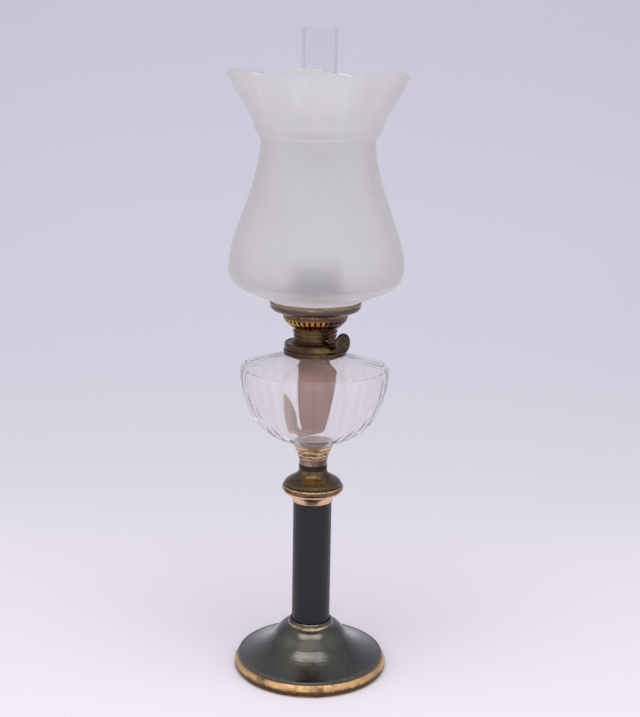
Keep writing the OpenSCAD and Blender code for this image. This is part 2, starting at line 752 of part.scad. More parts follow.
// The cotton wick: straight in its tube, then a tail that turns to the front, folds up and ends in a point
module wick() {
    w = wick_w / 2;
    broad = w + wick_spread;
    turn_z = tube_z - wick_rise - 1;
    front_z = turn_z - wick_turn_l;
    bend_z = cup_top + fold_h;
    fold_turn = 38;
    tail_turn = 60;
    down = [0, 0, -1];
    rows = concat(
        [wick_row([0, 0, wick_top], down, burner_turn, w)],
        [for (i = [0 : 6]) let (t = i / 6, e = eased(t))
            wick_row([wick_side * e, 0, turn_z - wick_turn_l * t], down, burner_turn * (1 - e), w + wick_spread * e)],
        [for (i = [1 : 8]) let (t = i / 8, e = eased(t))
            wick_row([wick_side * (1 - e), 0, front_z - (front_z - bend_z) * t], down, fold_turn * e, broad)],
        [for (i = [1 : 6]) let (t = i / 6, b = 180 * t)
            wick_row([-fold_r * (1 - cos(b)), 0, bend_z - fold_r * sin(b)], [-sin(b), 0, -cos(b)],
                     fold_turn + (tail_turn - fold_turn) * t, broad + (tail_w / 2 - broad) * t)],
        [for (i = [1 : 4]) let (t = i / 4)
            wick_row([-2 * fold_r - tail_lean * t, 0, bend_z + tail_l * t], [0, 0, 1], tail_turn,
                     tail_w / 2 * (1 - 0.88 * t))]);
    m = len(rows);
    color("#c9a89a")
        polyhedron(points = [for (q = rows) each q],
                   faces = concat(
                       [[0, 1, 2], [0, 2, 3], [4 * m - 4, 4 * m - 2, 4 * m - 3], [4 * m - 4, 4 * m - 1, 4 * m - 2]],
                       [for (i = [0 : m - 2]) for (j = [0 : 3])
                           let (a = 4 * i + j, b = 4 * i + (j + 1) % 4)
                           each [[a, a + 4, b], [b, a + 4, b + 4]]]));
}

// The dished gallery that holds the shade, with a skirt inside the basket
module shade_gallery() {
    g = gallery_wall;
    slope_w = dish_flat_r - dish_r;
    rise = dish_top - ledge_top;
    corner = [corner_x, dish_top + corner_in_r];
    slope = curve([dish_r + 0.1 * slope_w, 0.05 * rise], [dish_r + 0.4 * slope_w, 0.2 * rise],
                  [dish_r + 0.6 * slope_w, 0.8 * rise], [dish_r + 0.95 * slope_w, rise], 6);
    under = concat([[gallery_skirt_r, basket_top - 5], [gallery_skirt_r, basket_top], [dish_r, basket_top]],
                   [for (q = slope) q + [0, basket_top]], [[dish_flat_r, dish_top - g]]);
    color("#4c4034")
        turned(concat(under,
                      arc(corner, corner_r, -90, 0, 12),
                      arc([gallery_r - 0.4, dish_top + gallery_rim_h], 0.9, -60, 180, 8),
                      [[rim_bore_r, dish_top + gallery_rim_h - 1]],
                      arc(corner, corner_in_r, 0, -90, 12),
                      backward([for (q = slope) q + [0, ledge_top]]),
                      [[dish_r, ledge_top], [gallery_bore_r, ledge_top], [gallery_bore_r, basket_top - 5]]));
}

// The plate in the gallery, with a ring of air holes and spring fingers for the chimney
module chimney_holder() {
    spread = 20;
    f = finger_r;
    finger = concat([[f, ledge_top + 0.4], [f, plate_top + finger_h - 5]],
                    curve([f, plate_top + finger_h - 4], [f, plate_top + finger_h - 2], [f + 1, plate_top + finger_h - 1],
                          [f + 2, plate_top + finger_h], 4));
    color("#6b5233") {
        difference() {
            turned([[draught_r, ledge_top], [plate_r, ledge_top], [plate_r, plate_top], [draught_r, plate_top]]);
            for (i = [0 : 23])
                rotate([0, 0, 15 * i])
                    translate([0.5 * (finger_r + finger_t + gallery_bore_r), 0, ledge_top - 1])
                        cylinder(r = 1.3, h = gallery_wall + 2);
        }
        for (i = [0 : finger_count - 1])
            rotate([0, 0, 360 / finger_count * i - spread / 2])
                rotate_extrude(angle = spread)
                    polygon(concat(finger, backward(beside(finger, -finger_t))));
    }
}

// The deflector, a dome with a slot for the flame
module deflector() {
    r = deflector_r;
    wall_h = 20;
    dome_rise = deflector_h - wall_h;
    face = concat([[r + 0.7, plate_top], [r + 0.7, plate_top + 0.8], [r, plate_top + 0.8]],
                  [for (i = [0 : 9]) [r * cos(9 * i), plate_top + wall_h + dome_rise * sin(9 * i)]],
                  [[0, plate_top + deflector_h]]);
    inside = [for (i = [9 : -1 : 0])
        [(r - deflector_wall) * cos(9 * i), plate_top + wall_h + (dome_rise - deflector_wall) * sin(9 * i)]];
    color("#7d6a4a")
        difference() {
            turned(concat(face, [[0, plate_top + deflector_h - deflector_wall]], inside,
                          [[r - deflector_wall, plate_top]]));
            rotate([0, 0, burner_turn])
                translate([0, 0, plate_top + wall_h])
                    linear_extrude(deflector_h)
                        polygon(rounded([slot_l / 2, slot_w / 2], slot_w / 2 - 0.2));
        }
}

// The clear chimney
module chimney() {
    base = chimney_base_r;
    bulge = base + chimney_bulge;
    r = chimney_d / 2;
    z = plate_top;
    face = concat([[base, z], [base, z + 12]],
                  curve([base + 0.1, z + 14], [bulge - 0.6, z + 22], [bulge, z + 26], [bulge, z + 33], 7),
                  curve([bulge - 0.2, z + 37], [bulge - 1.6, z + 54], [r, z + 58], [r, z + 82], 10),
                  [[r, z + chimney_l - 0.6]]);
    inner = backward(beside(face, chimney_wall));
    color("#e8eef0", 0.3)
        turned(concat(face, [[r - 0.5, z + chimney_l], [r - chimney_wall + 0.5, z + chimney_l]], inner));
}

// The outer face of the shade, from the fitter to the mouth
function shade_face() =
    let (f = fitter_r, b = bulb_d / 2, w = waist_d / 2, m = mouth_d / 2, lip = gallery_rim_h)
    concat([[f, fitter_lift], [f, lip - 1]],
           curve([f + 0.6, lip + 0.6], [f + 15.5, lip + 11.5], [b, bulb_h - 26], [b, bulb_h], 8),
           curve([b - 0.1, bulb_h + 5], [b, bulb_h + 34], [w + 4, waist_h - 56], [w, waist_h - 1.5], 8),
           through([[w + 0.8, waist_h + 2.2], [w + 5.8, waist_h + 9.5], [w + 8.2, waist_h + 17.5],
                    [w + 13.6, waist_h + 29], [w + 0.67 * (m - w), waist_h + 0.67 * (shade_h - waist_h)],
                    [m, shade_h]], 2));

// The share of the mouth's wave that is left at height h
function wave_at(h) = pow(max(0, (h - waist_h) / (shade_h - waist_h)), 2);

// The frosted glass shade with its waved mouth
module shade() {
    face = shade_face();
    inner = beside(face, shade_wall);
    rows = concat(face, [for (i = [len(inner) - 1 : -1 : 0]) inner[i]]);
    color("#c8c4c8", 0.85)
        waved([for (q = rows) [q[0], dish_top + q[1], wave_out / 2 * wave_at(q[1]), wave_h / 2 * wave_at(q[1])]],
              wave_count * 8, wave_count, wave_turn, true);
}

foot_rim();
foot();
ballast();
tie_rod();
tie_washer();
tie_nut();
column();
capital();
capital_nut();
capital_bead();
fount_mount();
neck_ring();
fount_cup();
cup_plaster();
fount();
collar_plaster();
fount_collar();
burner_base();
wick_tube();
shaft_bush();
air_basket();
winder_shaft();
spur_wheels();
winder_knob();
wick();
shade_gallery();
chimney_holder();
deflector();
chimney();
shade();
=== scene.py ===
"""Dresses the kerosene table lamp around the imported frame: glass, aged brass, wick, light and camera."""
import logging
import math
from collections.abc import Callable, Mapping
from dataclasses import dataclass, field, replace
from enum import Enum
from typing import Protocol

import bmesh
import bpy
from mathutils import Matrix, Vector
from mathutils.geometry import interpolate_bezier


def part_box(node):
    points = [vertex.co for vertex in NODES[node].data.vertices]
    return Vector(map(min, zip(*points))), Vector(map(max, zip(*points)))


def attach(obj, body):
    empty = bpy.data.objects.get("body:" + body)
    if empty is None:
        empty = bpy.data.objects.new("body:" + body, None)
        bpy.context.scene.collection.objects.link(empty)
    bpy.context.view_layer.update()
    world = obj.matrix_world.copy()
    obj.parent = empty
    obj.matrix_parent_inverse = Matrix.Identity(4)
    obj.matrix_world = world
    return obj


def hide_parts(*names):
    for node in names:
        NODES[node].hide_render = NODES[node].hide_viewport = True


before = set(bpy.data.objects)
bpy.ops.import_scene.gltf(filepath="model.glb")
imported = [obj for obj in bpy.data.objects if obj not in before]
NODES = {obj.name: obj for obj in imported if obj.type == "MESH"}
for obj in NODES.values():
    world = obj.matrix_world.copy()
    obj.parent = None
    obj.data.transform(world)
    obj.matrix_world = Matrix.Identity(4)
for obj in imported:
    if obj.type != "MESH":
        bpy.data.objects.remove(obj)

LOG = logging.getLogger("lamp")
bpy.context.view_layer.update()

Colour = tuple[float, float, float]
Outline = list[tuple[float, float]]
Socket = bpy.types.NodeSocket
Value = float | Colour | Socket

FULL_TURN = 2.0 * math.pi
QUARTER_TURN = 0.5 * math.pi
COLOUR_OUT = "NodeSocketColor"
VALUE_OUT = "NodeSocketFloat"
GOLD: Colour = (0.78, 0.54, 0.27)
COAT_ROUGHNESS = 0.14
FACING_INWARD = -0.004
ALL_ROUND = 400.0


class Body(Enum):
    """The moving bodies of the frame that new pieces ride on."""

    STAND = "stand"
    BURNER = "burner"
    WICK = "wick"
    CHIMNEY = "chimney"
    SHADE = "shade"


class Slot(Enum):
    """The material slots of the record that new pieces take."""

    CLEAR_GLASS = "clear_glass"
    FROSTED_GLASS = "frosted_glass"
    COTTON = "cotton"
    COPPER_BRASS = "copper_brass"
    PLASTER = "plaster"
    POLISHED_BRASS = "polished_brass"


class Graph:
    """Places and joins shader nodes in one node tree."""

    def __init__(self, tree: bpy.types.NodeTree) -> None:
        """Keeps the tree that the nodes go into."""
        self.tree = tree

    def add(self, kind: str, inputs: Mapping[str | int, Value] | None = None,
            **settings: object) -> bpy.types.Node:
        """Adds one node.

        Args:
            kind: the node's Blender type.
            inputs: input socket names or numbers, with a constant or a socket to link.
            settings: other attributes of the node.

        Returns:
            The new node.
        """
        node = self.tree.nodes.new(kind)
        for name, setting in settings.items():
            setattr(node, name, setting)
        self.fill(node, inputs or {})
        return node

    def fill(self, node: bpy.types.Node, inputs: Mapping[str | int, Value]) -> None:
        """Sets a node's inputs, by name or number."""
        for key, value in inputs.items():
            self.feed(node.inputs[key], value)

    def feed(self, socket: Socket, value: Value) -> None:
        """Sets an input to a constant, or links another node's output to it.

        Args:
            socket: the input.
            value: a number, a colour or an output socket.
        """
        if isinstance(value, Socket):
            self.tree.links.new(value, socket)
        elif isinstance(value, tuple) and socket.type == "RGBA":
            socket.default_value = (*value, 1.0)
        else:
            socket.default_value = value

    def math(self, operation: str, a: Value, b: Value = 0.0, clamp: bool = False) -> Socket:
        """Returns the result of one arithmetic node."""
        return self.add("ShaderNodeMath", {0: a, 1: b}, operation=operation, use_clamp=clamp).outputs[0]

    def plus(self, a: Value, b: Value) -> Socket:
        """Returns a sum."""
        return self.math("ADD", a, b)

    def minus(self, a: Value, b: Value) -> Socket:
        """Returns a difference."""
        return self.math("SUBTRACT", a, b)

    def times(self, a: Value, b: Value) -> Socket:
        """Returns a product."""
        return self.math("MULTIPLY", a, b)

    def over(self, a: Value, b: Value) -> Socket:
        """Returns a quotient."""
        return self.math("DIVIDE", a, b)

    def larger(self, a: Value, b: Value) -> Socket:
        """Returns the larger of two values."""
        return self.math("MAXIMUM", a, b)

    def size(self, a: Value) -> Socket:
        """Returns a value without its sign."""
        return self.math("ABSOLUTE", a)

    def slant(self, a: Value, b: Value) -> Socket:
        """Returns the distance that two legs at a right angle span."""
        return self.math("SQRT", self.plus(self.times(a, a), self.times(b, b)))

    def remap(self, value: Value, low: Value, high: Value, start: Value = 0.0, end: Value = 1.0) -> Socket:
        """Returns a value eased from start to end as it goes from low to high."""
        spots = {"Value": value, "From Min": low, "From Max": high, "To Min": start, "To Max": end}
        return self.add("ShaderNodeMapRange", spots, interpolation_type="SMOOTHSTEP").outputs["Result"]

    def mix(self, share: Value, a: Value, b: Value) -> Socket:
        """Returns the mix of two colours."""
        spots = {0: share, 6: a, 7: b}
        return self.add("ShaderNodeMix", spots, data_type="RGBA", blend_type="MIX").outputs[2]

    def noise(self, vector: Socket, scale: Value, detail: float = 4.0, roughness: float = 0.55) -> Socket:
        """Returns the height of a noise pattern."""
        spots = {"Vector": vector, "Scale": scale, "Detail": detail, "Roughness": roughness}
        return self.add("ShaderNodeTexNoise", spots).outputs["Fac"]

    def vector(self, x: Value, y: Value, z: Value) -> Socket:
        """Returns a vector of three values."""
        return self.add("ShaderNodeCombineXYZ", {0: x, 1: y, 2: z}).outputs[0]

    def parts(self, vector: Socket) -> tuple[Socket, Socket, Socket]:
        """Returns the three values of a vector."""
        return tuple(self.add("ShaderNodeSeparateXYZ", {0: vector}).outputs)

    def place(self) -> Socket:
        """Returns the point on the piece, in the frame's own metres."""
        return self.add("ShaderNodeTexCoord").outputs["Object"]

    def round_place(self) -> tuple[Socket, Socket, Socket]:
        """Returns a point's distance from the lamp's axis, its angle round it and its height."""
        x, y, z = self.parts(self.place())
        return self.slant(x, y), self.math("ARCTAN2", y, x), z

    def inward(self) -> Socket:
        """Finds the faces that look towards the lamp's axis.

        Returns:
            1 on those faces, and 0 elsewhere.
        """
        coordinates = self.add("ShaderNodeTexCoord").outputs
        x, y, _ = self.parts(coordinates["Object"])
        facing_x, facing_y, _ = self.parts(coordinates["Normal"])
        out = self.plus(self.times(x, facing_x), self.times(y, facing_y))
        return self.math("LESS_THAN", out, FACING_INWARD)

    def grazing(self) -> Socket:
        """Returns how far a glass face turns away from the eye."""
        return self.add("ShaderNodeLayerWeight", {"Blend": 0.5}).outputs["Facing"]

    def emboss(self, shader: bpy.types.Node, height: Socket, strength: float, distance: float) -> None:
        """Gives a shader a relief.

        Args:
            shader: the material's shader.
            height: the relief's height, from 0 to about 1.
            strength: how much of it shows.
            distance: its depth in metres.
        """
        bump = self.add("ShaderNodeBump", {"Strength": strength, "Distance": distance, "Height": height})
        self.feed(shader.inputs["Normal"], bump.outputs[0])


class Effect:
    """A shared shader effect, built once as a node group and placed in materials with their own values."""

    def __init__(self, name: str, inputs: Mapping[str, Value], outputs: Mapping[str, str]) -> None:
        """Makes the group's sockets.

        Args:
            name: the group's name.
            inputs: input names with their plain values.
            outputs: output names with their socket types.
        """
        self.tree = bpy.data.node_groups.new(name, "ShaderNodeTree")
        for key, value in inputs.items():
            kind = COLOUR_OUT if isinstance(value, tuple) else VALUE_OUT
            socket = self.tree.interface.new_socket(key, in_out="INPUT", socket_type=kind)
            socket.default_value = (*value, 1.0) if isinstance(value, tuple) else value
        for key, kind in outputs.items():
            self.tree.interface.new_socket(key, in_out="OUTPUT", socket_type=kind)
        self.graph = Graph(self.tree)
        self.inputs = self.graph.add("NodeGroupInput").outputs
        self.result = self.graph.add("NodeGroupOutput")

    def give(self, **values: Socket) -> None:
        """Links the group's outputs, by name."""
        self.graph.fill(self.result, values)

    def into(self, graph: Graph, **values: Value) -> Mapping[str, Socket]:
        """Places the group in a material, with values by the sockets' names, and returns its outputs."""
        return graph.add("ShaderNodeGroup", values, node_tree=self.tree).outputs


def make_patina() -> Effect:
    """Makes tarnish in soft clouds and fine specks over a metal, rubbed bright or lit by painted highlights
    where a mask says so.

    Returns:
        The effect.
    """
    plain = {"Metal": (0.5, 0.4, 0.2), "Tarnish": (0.1, 0.08, 0.05), "Worn": (0.8, 0.6, 0.3),
             "Cloud": 60.0, "Cover": 0.5, "Wear": 0.0, "Polish": 0.2, "Dull": 0.5}
    effect = Effect("patina", plain, {"Color": COLOUR_OUT, "Roughness": VALUE_OUT, "Height": VALUE_OUT})
    g, at = effect.graph, effect.inputs
    place = g.place()
    cloud = g.noise(place, at["Cloud"], 6.0, 0.62)
    speck = g.noise(place, g.times(at["Cloud"], 11.0), 3.0, 0.6)
    low = g.minus(0.72, g.times(at["Cover"], 0.5))
    cover = g.remap(cloud, g.minus(low, 0.14), g.plus(low, 0.14))
    colour = g.mix(cover, at["Metal"], at["Tarnish"])
    colour = g.mix(g.remap(speck, 0.56, 0.74, 0.0, 0.45), colour, at["Tarnish"])
    breakup = g.remap(g.noise(place, g.times(at["Cloud"], 4.0), 5.0, 0.7), 0.34, 0.6)
    wear_and_light = g.math("MULTIPLY", at["Wear"], g.plus(0.25, g.times(breakup, 0.75)), clamp=True)
    colour = g.mix(wear_and_light, colour, at["Worn"])
    dullness = g.times(cover, g.minus(1.0, g.times(wear_and_light, 0.7)))
    spread = g.minus(at["Dull"], at["Polish"])
    roughness = g.plus(at["Polish"], g.times(spread, dullness))
    roughness = g.math("ADD", roughness, g.remap(speck, 0.4, 0.7, -0.03, 0.06), clamp=True)
    effect.give(Color=colour, Roughness=roughness, Height=g.plus(speck, g.times(cloud, 0.6)))
    return effect


def make_lathe_marks() -> Effect:
    """Makes fine rings that run round the lamp's axis, as turning and polishing leave them.

    Returns:
        The effect.
    """
    effect = Effect("lathe_marks", {"Fine": 900.0}, {"Mask": VALUE_OUT})
    g, at = effect.graph, effect.inputs
    radius, angle, height = g.round_place()
    lines = g.vector(g.times(radius, at["Fine"]), g.times(angle, 0.9), g.times(height, at["Fine"]))
    effect.give(Mask=g.noise(lines, 1.0, 3.0, 0.6))
    return effect


def make_edge_ring() -> Effect:
    """Makes a mask with a ragged border, for an edge ring at one radius and height.

    Returns:
        The effect.
    """
    effect = Effect("edge_ring", {"Radius": 0.03, "Level": 0.05, "Reach": 0.002}, {"Mask": VALUE_OUT})
    g, at = effect.graph, effect.inputs
    radius, _, height = g.round_place()
    far = g.slant(g.minus(radius, at["Radius"]), g.minus(height, at["Level"]))
    ragged = g.times(g.minus(g.noise(g.place(), 240.0, 4.0, 0.6), 0.5), at["Reach"])
    share = g.over(g.plus(far, ragged), at["Reach"])
    effect.give(Mask=g.remap(share, 0.25, 1.0, 1.0, 0.0))
    return effect


def make_patch() -> Effect:
    """Makes a mask for a soft patch on a round piece, at one angle and height.

    Returns:
        The effect.
    """
    plain = {"Angle": -1.6, "Spread": 0.5, "Level": 0.2, "Reach": 0.01}
    effect = Effect("patch", plain, {"Mask": VALUE_OUT})
    g, at = effect.graph, effect.inputs
    _, angle, height = g.round_place()
    cloud = g.times(g.minus(g.noise(g.place(), 150.0, 4.0, 0.6), 0.5), 0.7)
    facing = g.math("COSINE", g.minus(angle, at["Angle"]))
    aside = g.over(g.math("ARCCOSINE", g.times(facing, 0.9999)), at["Spread"])
    above = g.over(g.minus(height, at["Level"]), at["Reach"])
    effect.give(Mask=g.remap(g.plus(g.slant(aside, above), cloud), 0.3, 1.0, 1.0, 0.0))
    return effect


def make_smudge() -> Effect:
    """Makes the thin uneven haze on glass.

    Returns:
        The effect.
    """
    effect = Effect("smudge", {"Hazy": 0.06}, {"Roughness": VALUE_OUT})
    g, at = effect.graph, effect.inputs
    haze = g.remap(g.noise(g.place(), 38.0, 5.0, 0.6), 0.52, 0.72)
    effect.give(Roughness=g.times(haze, at["Hazy"]))
    return effect


PATINA = make_patina()
LATHE_MARKS = make_lathe_marks()
EDGE_RING = make_edge_ring()
PATCH = make_patch()
SMUDGE = make_smudge()


class Finish(Protocol):
    """What every finish can do."""

    def build(self) -> bpy.types.Material:
        """Returns the finish as a material."""


@dataclass(frozen=True)
class Ring:
    """An edge ring that is rubbed bright, painted bright as a highlight, or painted dark: its radius, height
    and reach, in metres.
    """

    radius: float
    level: float
    reach: float

    def mask(self, g: Graph) -> Socket:
        """Returns the ring's mask."""
        return EDGE_RING.into(g, Radius=self.radius, Level=self.level, Reach=self.reach)["Mask"]


@dataclass(frozen=True)
class Patch:
    """A soft patch of another tone: angle and spread in degrees, height and reach in metres, strength."""

    angle: float
    spread: float
    level: float
    reach: float
    tone: Colour
    strength: float

    def lay(self, g: Graph, colour: Value) -> Socket:
        """Lays the patch over a colour.

        Args:
            g: the material's nodes.
            colour: the colour under it.

        Returns:
            The new colour.
        """
        angle, spread = math.radians(self.angle), math.radians(self.spread)
        mask = PATCH.into(g, Angle=angle, Spread=spread, Level=self.level, Reach=self.reach)["Mask"]
        return g.mix(g.times(mask, self.strength), colour, self.tone)


@dataclass(frozen=True)
class AgedMetal:
    """A metal with tarnish, lathe marks, edge rings rubbed bright or painted bright or dark, patches of other
    tones and of painted light and shade, and a painted tone on faces towards the axis.
    """

    name: str
    metal: Colour
    tarnish: Colour
    worn_and_lit: Colour
    cover: float
    polish: float
    dull: float
    cloud: float = 60.0
    lathe: float = 0.25
    fine: float = 900.0
    bump: float = 0.06
    relief: float = 0.0004
    rings: tuple[Ring, ...] = ()
    dark_rings: tuple[Ring, ...] = ()
    patches: tuple[Patch, ...] = ()
    painted_inside: Colour | None = None
    coat: float = 0.0

    def wear_and_light(self, g: Graph, marks: Socket) -> Socket:
        """Finds the places that are rubbed bright, and the rings that are painted highlights.

        Args:
            g: the material's nodes.
            marks: the lathe marks.

        Returns:
            Their mask.
        """
        mask = g.remap(marks, 0.6, 0.78, 0.0, self.lathe)
        for ring in self.rings:
            mask = g.larger(mask, ring.mask(g))
        return mask

    def overlay(self, g: Graph, colour: Value) -> Value:
        """Returns the colour as it is, for a metal with nothing to lay over it."""
        return colour

    def build(self) -> bpy.types.Material:
        """Builds the finish.

        Returns:
            The material.
        """
        material, g, shader = new_material(self.name)
        marks = LATHE_MARKS.into(g, Fine=self.fine)["Mask"]
        patina = PATINA.into(g, Metal=self.metal, Tarnish=self.tarnish, Worn=self.worn_and_lit, Cloud=self.cloud,
                             Cover=self.cover, Wear=self.wear_and_light(g, marks), Polish=self.polish, Dull=self.dull)
        dark_mask = g.remap(marks, 0.2, 0.42, 0.9 * self.lathe, 0.0)
        for ring in self.dark_rings:
            dark_mask = g.larger(dark_mask, ring.mask(g))
        colour = g.mix(dark_mask, patina["Color"], self.tarnish)
        for patch in self.patches:
            colour = patch.lay(g, colour)
        colour = self.overlay(g, colour)
        # Faces towards the axis take a painted tone: painted shade inside the burner and the gallery, painted
        # light inside the cup.
        if self.painted_inside:
            colour = g.mix(g.inward(), colour, self.painted_inside)
        g.fill(shader, {"Base Color": colour, "Roughness": patina["Roughness"], "Metallic": 1.0,
                        "Coat Weight": self.coat, "Coat Roughness": COAT_ROUGHNESS})
        g.emboss(shader, g.plus(patina["Height"], g.times(marks, 0.5)), self.bump, self.relief)
        return material


@dataclass(frozen=True)
class CausticMetal(AgedMetal):
    """Aged metal under the foot of the glass, with painted caustics: wavy lines of light from the glass,
    painted as bright metal near its upper edge.
    """

    caustic_level: float = 0.26
    caustic_reach: float = 0.008

    def wear_and_light(self, g: Graph, marks: Socket) -> Socket:
        """Finds the rubbed places, with the painted caustics added.

        Args:
            g: the material's nodes.
            marks: the lathe marks.

        Returns:
            Their mask.
        """
        _, angle, height = g.round_place()
        stir = g.noise(g.vector(g.times(angle, 2.2), g.times(height, 120.0), 0.0), 1.4, 3.0, 0.6)
        phase = g.plus(g.times(height, 1300.0), g.times(stir, 14.0))
        lines = g.remap(g.math("SINE", phase), -0.2, 0.75)
        above = g.over(g.minus(height, self.caustic_level), self.caustic_reach)
        zone = g.remap(g.size(above), 0.25, 1.0, 1.0, 0.0)
        return g.larger(AgedMetal.wear_and_light(self, g, marks), g.times(lines, zone))


@dataclass(frozen=True)
class PiercedMetal(AgedMetal):
    """Aged metal round two rows of holes, with painted shade in slits that join them and round them, and
    painted highlights on arches below them.
    """

    count: int = 36
    radius: float = 0.031
    low_row: float = 0.398
    high_row: float = 0.403
    hole: float = 0.0013
    arch_drop: float = 0.0016
    arch_rise: float = 0.0012
    dark_tone: Colour = (0.012, 0.009, 0.008)
    arch_highlight: Colour = (0.92, 0.50, 0.17)

    def overlay(self, g: Graph, colour: Value) -> Socket:
        """Lays the painted highlights of the arches and the painted shade of the slits and holes over a
        colour.

        Args:
            g: the material's nodes.
            colour: the colour under them.

        Returns:
            The new colour.
        """
        _, angle, height = g.round_place()
        turns = g.plus(g.times(angle, self.count / FULL_TURN), 0.5)
        pitch = FULL_TURN * self.radius / self.count
        aside = g.times(g.size(g.minus(g.math("FRACT", turns), 0.5)), pitch)
        below = g.minus(self.low_row - self.arch_drop, height)
        bow = g.math("COSINE", g.times(aside, 0.5 * FULL_TURN / pitch))
        crown = g.size(g.minus(below, g.times(bow, self.arch_rise)))
        colour = g.mix(g.remap(crown, 0.0003, 0.0011, 0.9, 0.0), colour, self.arch_highlight)
        slit = g.times(g.remap(aside, 0.0005, 0.0008, 1.0, 0.0), self.between(g, height))
        for row in (self.low_row, self.high_row):
            far = g.slant(aside, g.minus(height, row))
            slit = g.larger(slit, g.remap(far, self.hole, self.hole + 0.0003, 1.0, 0.0))
        return g.mix(slit, colour, self.dark_tone)

    def between(self, g: Graph, height: Value) -> Socket:
        """Returns 1 at heights between the two rows of holes."""
        above = g.math("GREATER_THAN", height, self.low_row)
        return g.times(above, g.math("LESS_THAN", height, self.high_row))


@dataclass(frozen=True)
class Lacquer:
    """A satin black lacquer with faint brushing along the column and small scuffs."""

    name: str
    colour: Colour
    scuff: Colour
    roughness: float

    def build(self) -> bpy.types.Material:
        """Builds the finish.

        Returns:
            The material.
        """
        material, g, shader = new_material(self.name)
        radius, angle, height = g.round_place()
        brushing = g.noise(g.vector(g.times(angle, 40.0), g.times(height, 9.0), radius), 1.0)
        scuffs = g.remap(g.noise(g.place(), 130.0, 6.0, 0.7), 0.66, 0.78, 0.0, 0.6)
        satin = g.remap(brushing, 0.3, 0.7, self.roughness - 0.05, self.roughness + 0.07)
        g.fill(shader, {"Base Color": g.mix(scuffs, self.colour, self.scuff), "Roughness": satin,
                        "Specular IOR Level": 0.3})
        g.emboss(shader, brushing, 0.04, 0.0004)
        return material


@dataclass(frozen=True)
class ClearGlass:
    """Clear blown glass with a trace of haze, and a smoky zone, or cut ribs with painted shade in their
    grooves, where it has them.
    """

    name: str
    tint: Colour
    edge: Colour
    hazy: float
    ior: float
    clear: float = 1.0
    coat: float = 0.0
    smoke: Colour = (1.0, 1.0, 1.0)
    smoke_level: float = 0.0
    smoke_reach: float = 0.01
    ribs: int = 0
    groove_shade: Colour = (0.925, 0.91, 0.92)

    def build(self) -> bpy.types.Material:
        """Builds the finish.

        Returns:
            The material.
        """
        material, g, shader = new_material(self.name)
        radius, angle, height = g.round_place()
        above = g.over(g.minus(height, self.smoke_level), self.smoke_reach)
        colour = g.mix(g.remap(g.size(above), 0.6, 1.0, 1.0, 0.0), self.tint, self.smoke)
        if self.ribs:
            # Painted shade: the ribs' grooves are tinted darker.
            crest = g.size(g.math("COSINE", g.times(angle, 0.5 * self.ribs)))
            cut = g.times(g.remap(crest, 0.05, 0.6, 1.0, 0.0), g.remap(radius, 0.034, 0.048))
            colour = g.mix(cut, colour, self.groove_shade)
        colour = g.mix(g.remap(g.grazing(), 0.62, 0.9), colour, self.edge)
        g.fill(shader, {"Base Color": colour, "Roughness": SMUDGE.into(g, Hazy=self.hazy)["Roughness"],
                        "Transmission Weight": self.clear, "IOR": self.ior, "Coat Weight": self.coat})
        return material


@dataclass(frozen=True)
class FrostedGlass:
    """Acid-frosted glass: milky, with a fine grain and etched streaks that run down the flare, a painted
    highlight along the crease at its foot, and painted light at its edges and near the fitter.
    """

    name: str
    pale: Colour
    cloudy: Colour
    edge: Colour
    low_tone: Colour
    etch_and_highlight: Colour
    transmission: float
    roughness: float
    ground: float
    foot: float
    flare_foot: float

    def build(self) -> bpy.types.Material:
        """Builds the finish.

        Returns:
            The material.
        """
        material, g, shader = new_material(self.name)
        _, angle, height = g.round_place()
        cloud = g.noise(g.place(), 9.0, 5.0, 0.6)
        waver = g.times(g.noise(g.place(), 45.0, 3.0, 0.6), 2.2)
        down = g.vector(g.plus(g.times(angle, 15.0), waver), g.times(height, 38.0), 0.0)
        in_flare = g.remap(height, self.flare_foot, self.flare_foot + 0.04)
        etched = g.times(g.remap(g.noise(down, 1.0, 6.0, 0.62), 0.5, 0.68), in_flare)
        colour = g.mix(g.remap(cloud, 0.35, 0.68), self.pale, self.cloudy)
        # Painted light: warmer and paler where the glass turns away.
        colour = g.mix(g.remap(g.grazing(), 0.05, 1.0), colour, self.edge)
        # Painted light: paler near the fitter.
        colour = g.mix(g.remap(height, self.foot, self.foot + 0.03, 0.9, 0.0), colour, self.low_tone)
        # A painted highlight along the crease at the foot of the flare.
        crease = g.size(g.minus(height, self.flare_foot + 0.001))
        crease_highlight = g.times(g.remap(crease, 0.0005, 0.0015, 0.6, 0.0), g.remap(cloud, 0.4, 0.6))
        bright = g.larger(g.times(etched, 0.35), crease_highlight)
        grind = g.remap(height, self.foot, self.foot + 0.022, self.ground, self.roughness)
        g.fill(shader, {"Base Color": g.mix(bright, colour, self.etch_and_highlight),
                        "Roughness": g.minus(grind, g.times(etched, 0.1)),
                        "Transmission Weight": self.transmission, "IOR": 1.45})
        grain = g.noise(g.place(), 1400.0, 3.0, 0.6)
        g.emboss(shader, g.plus(grain, g.times(etched, 1.4)), 0.12, 0.0005)
        return material


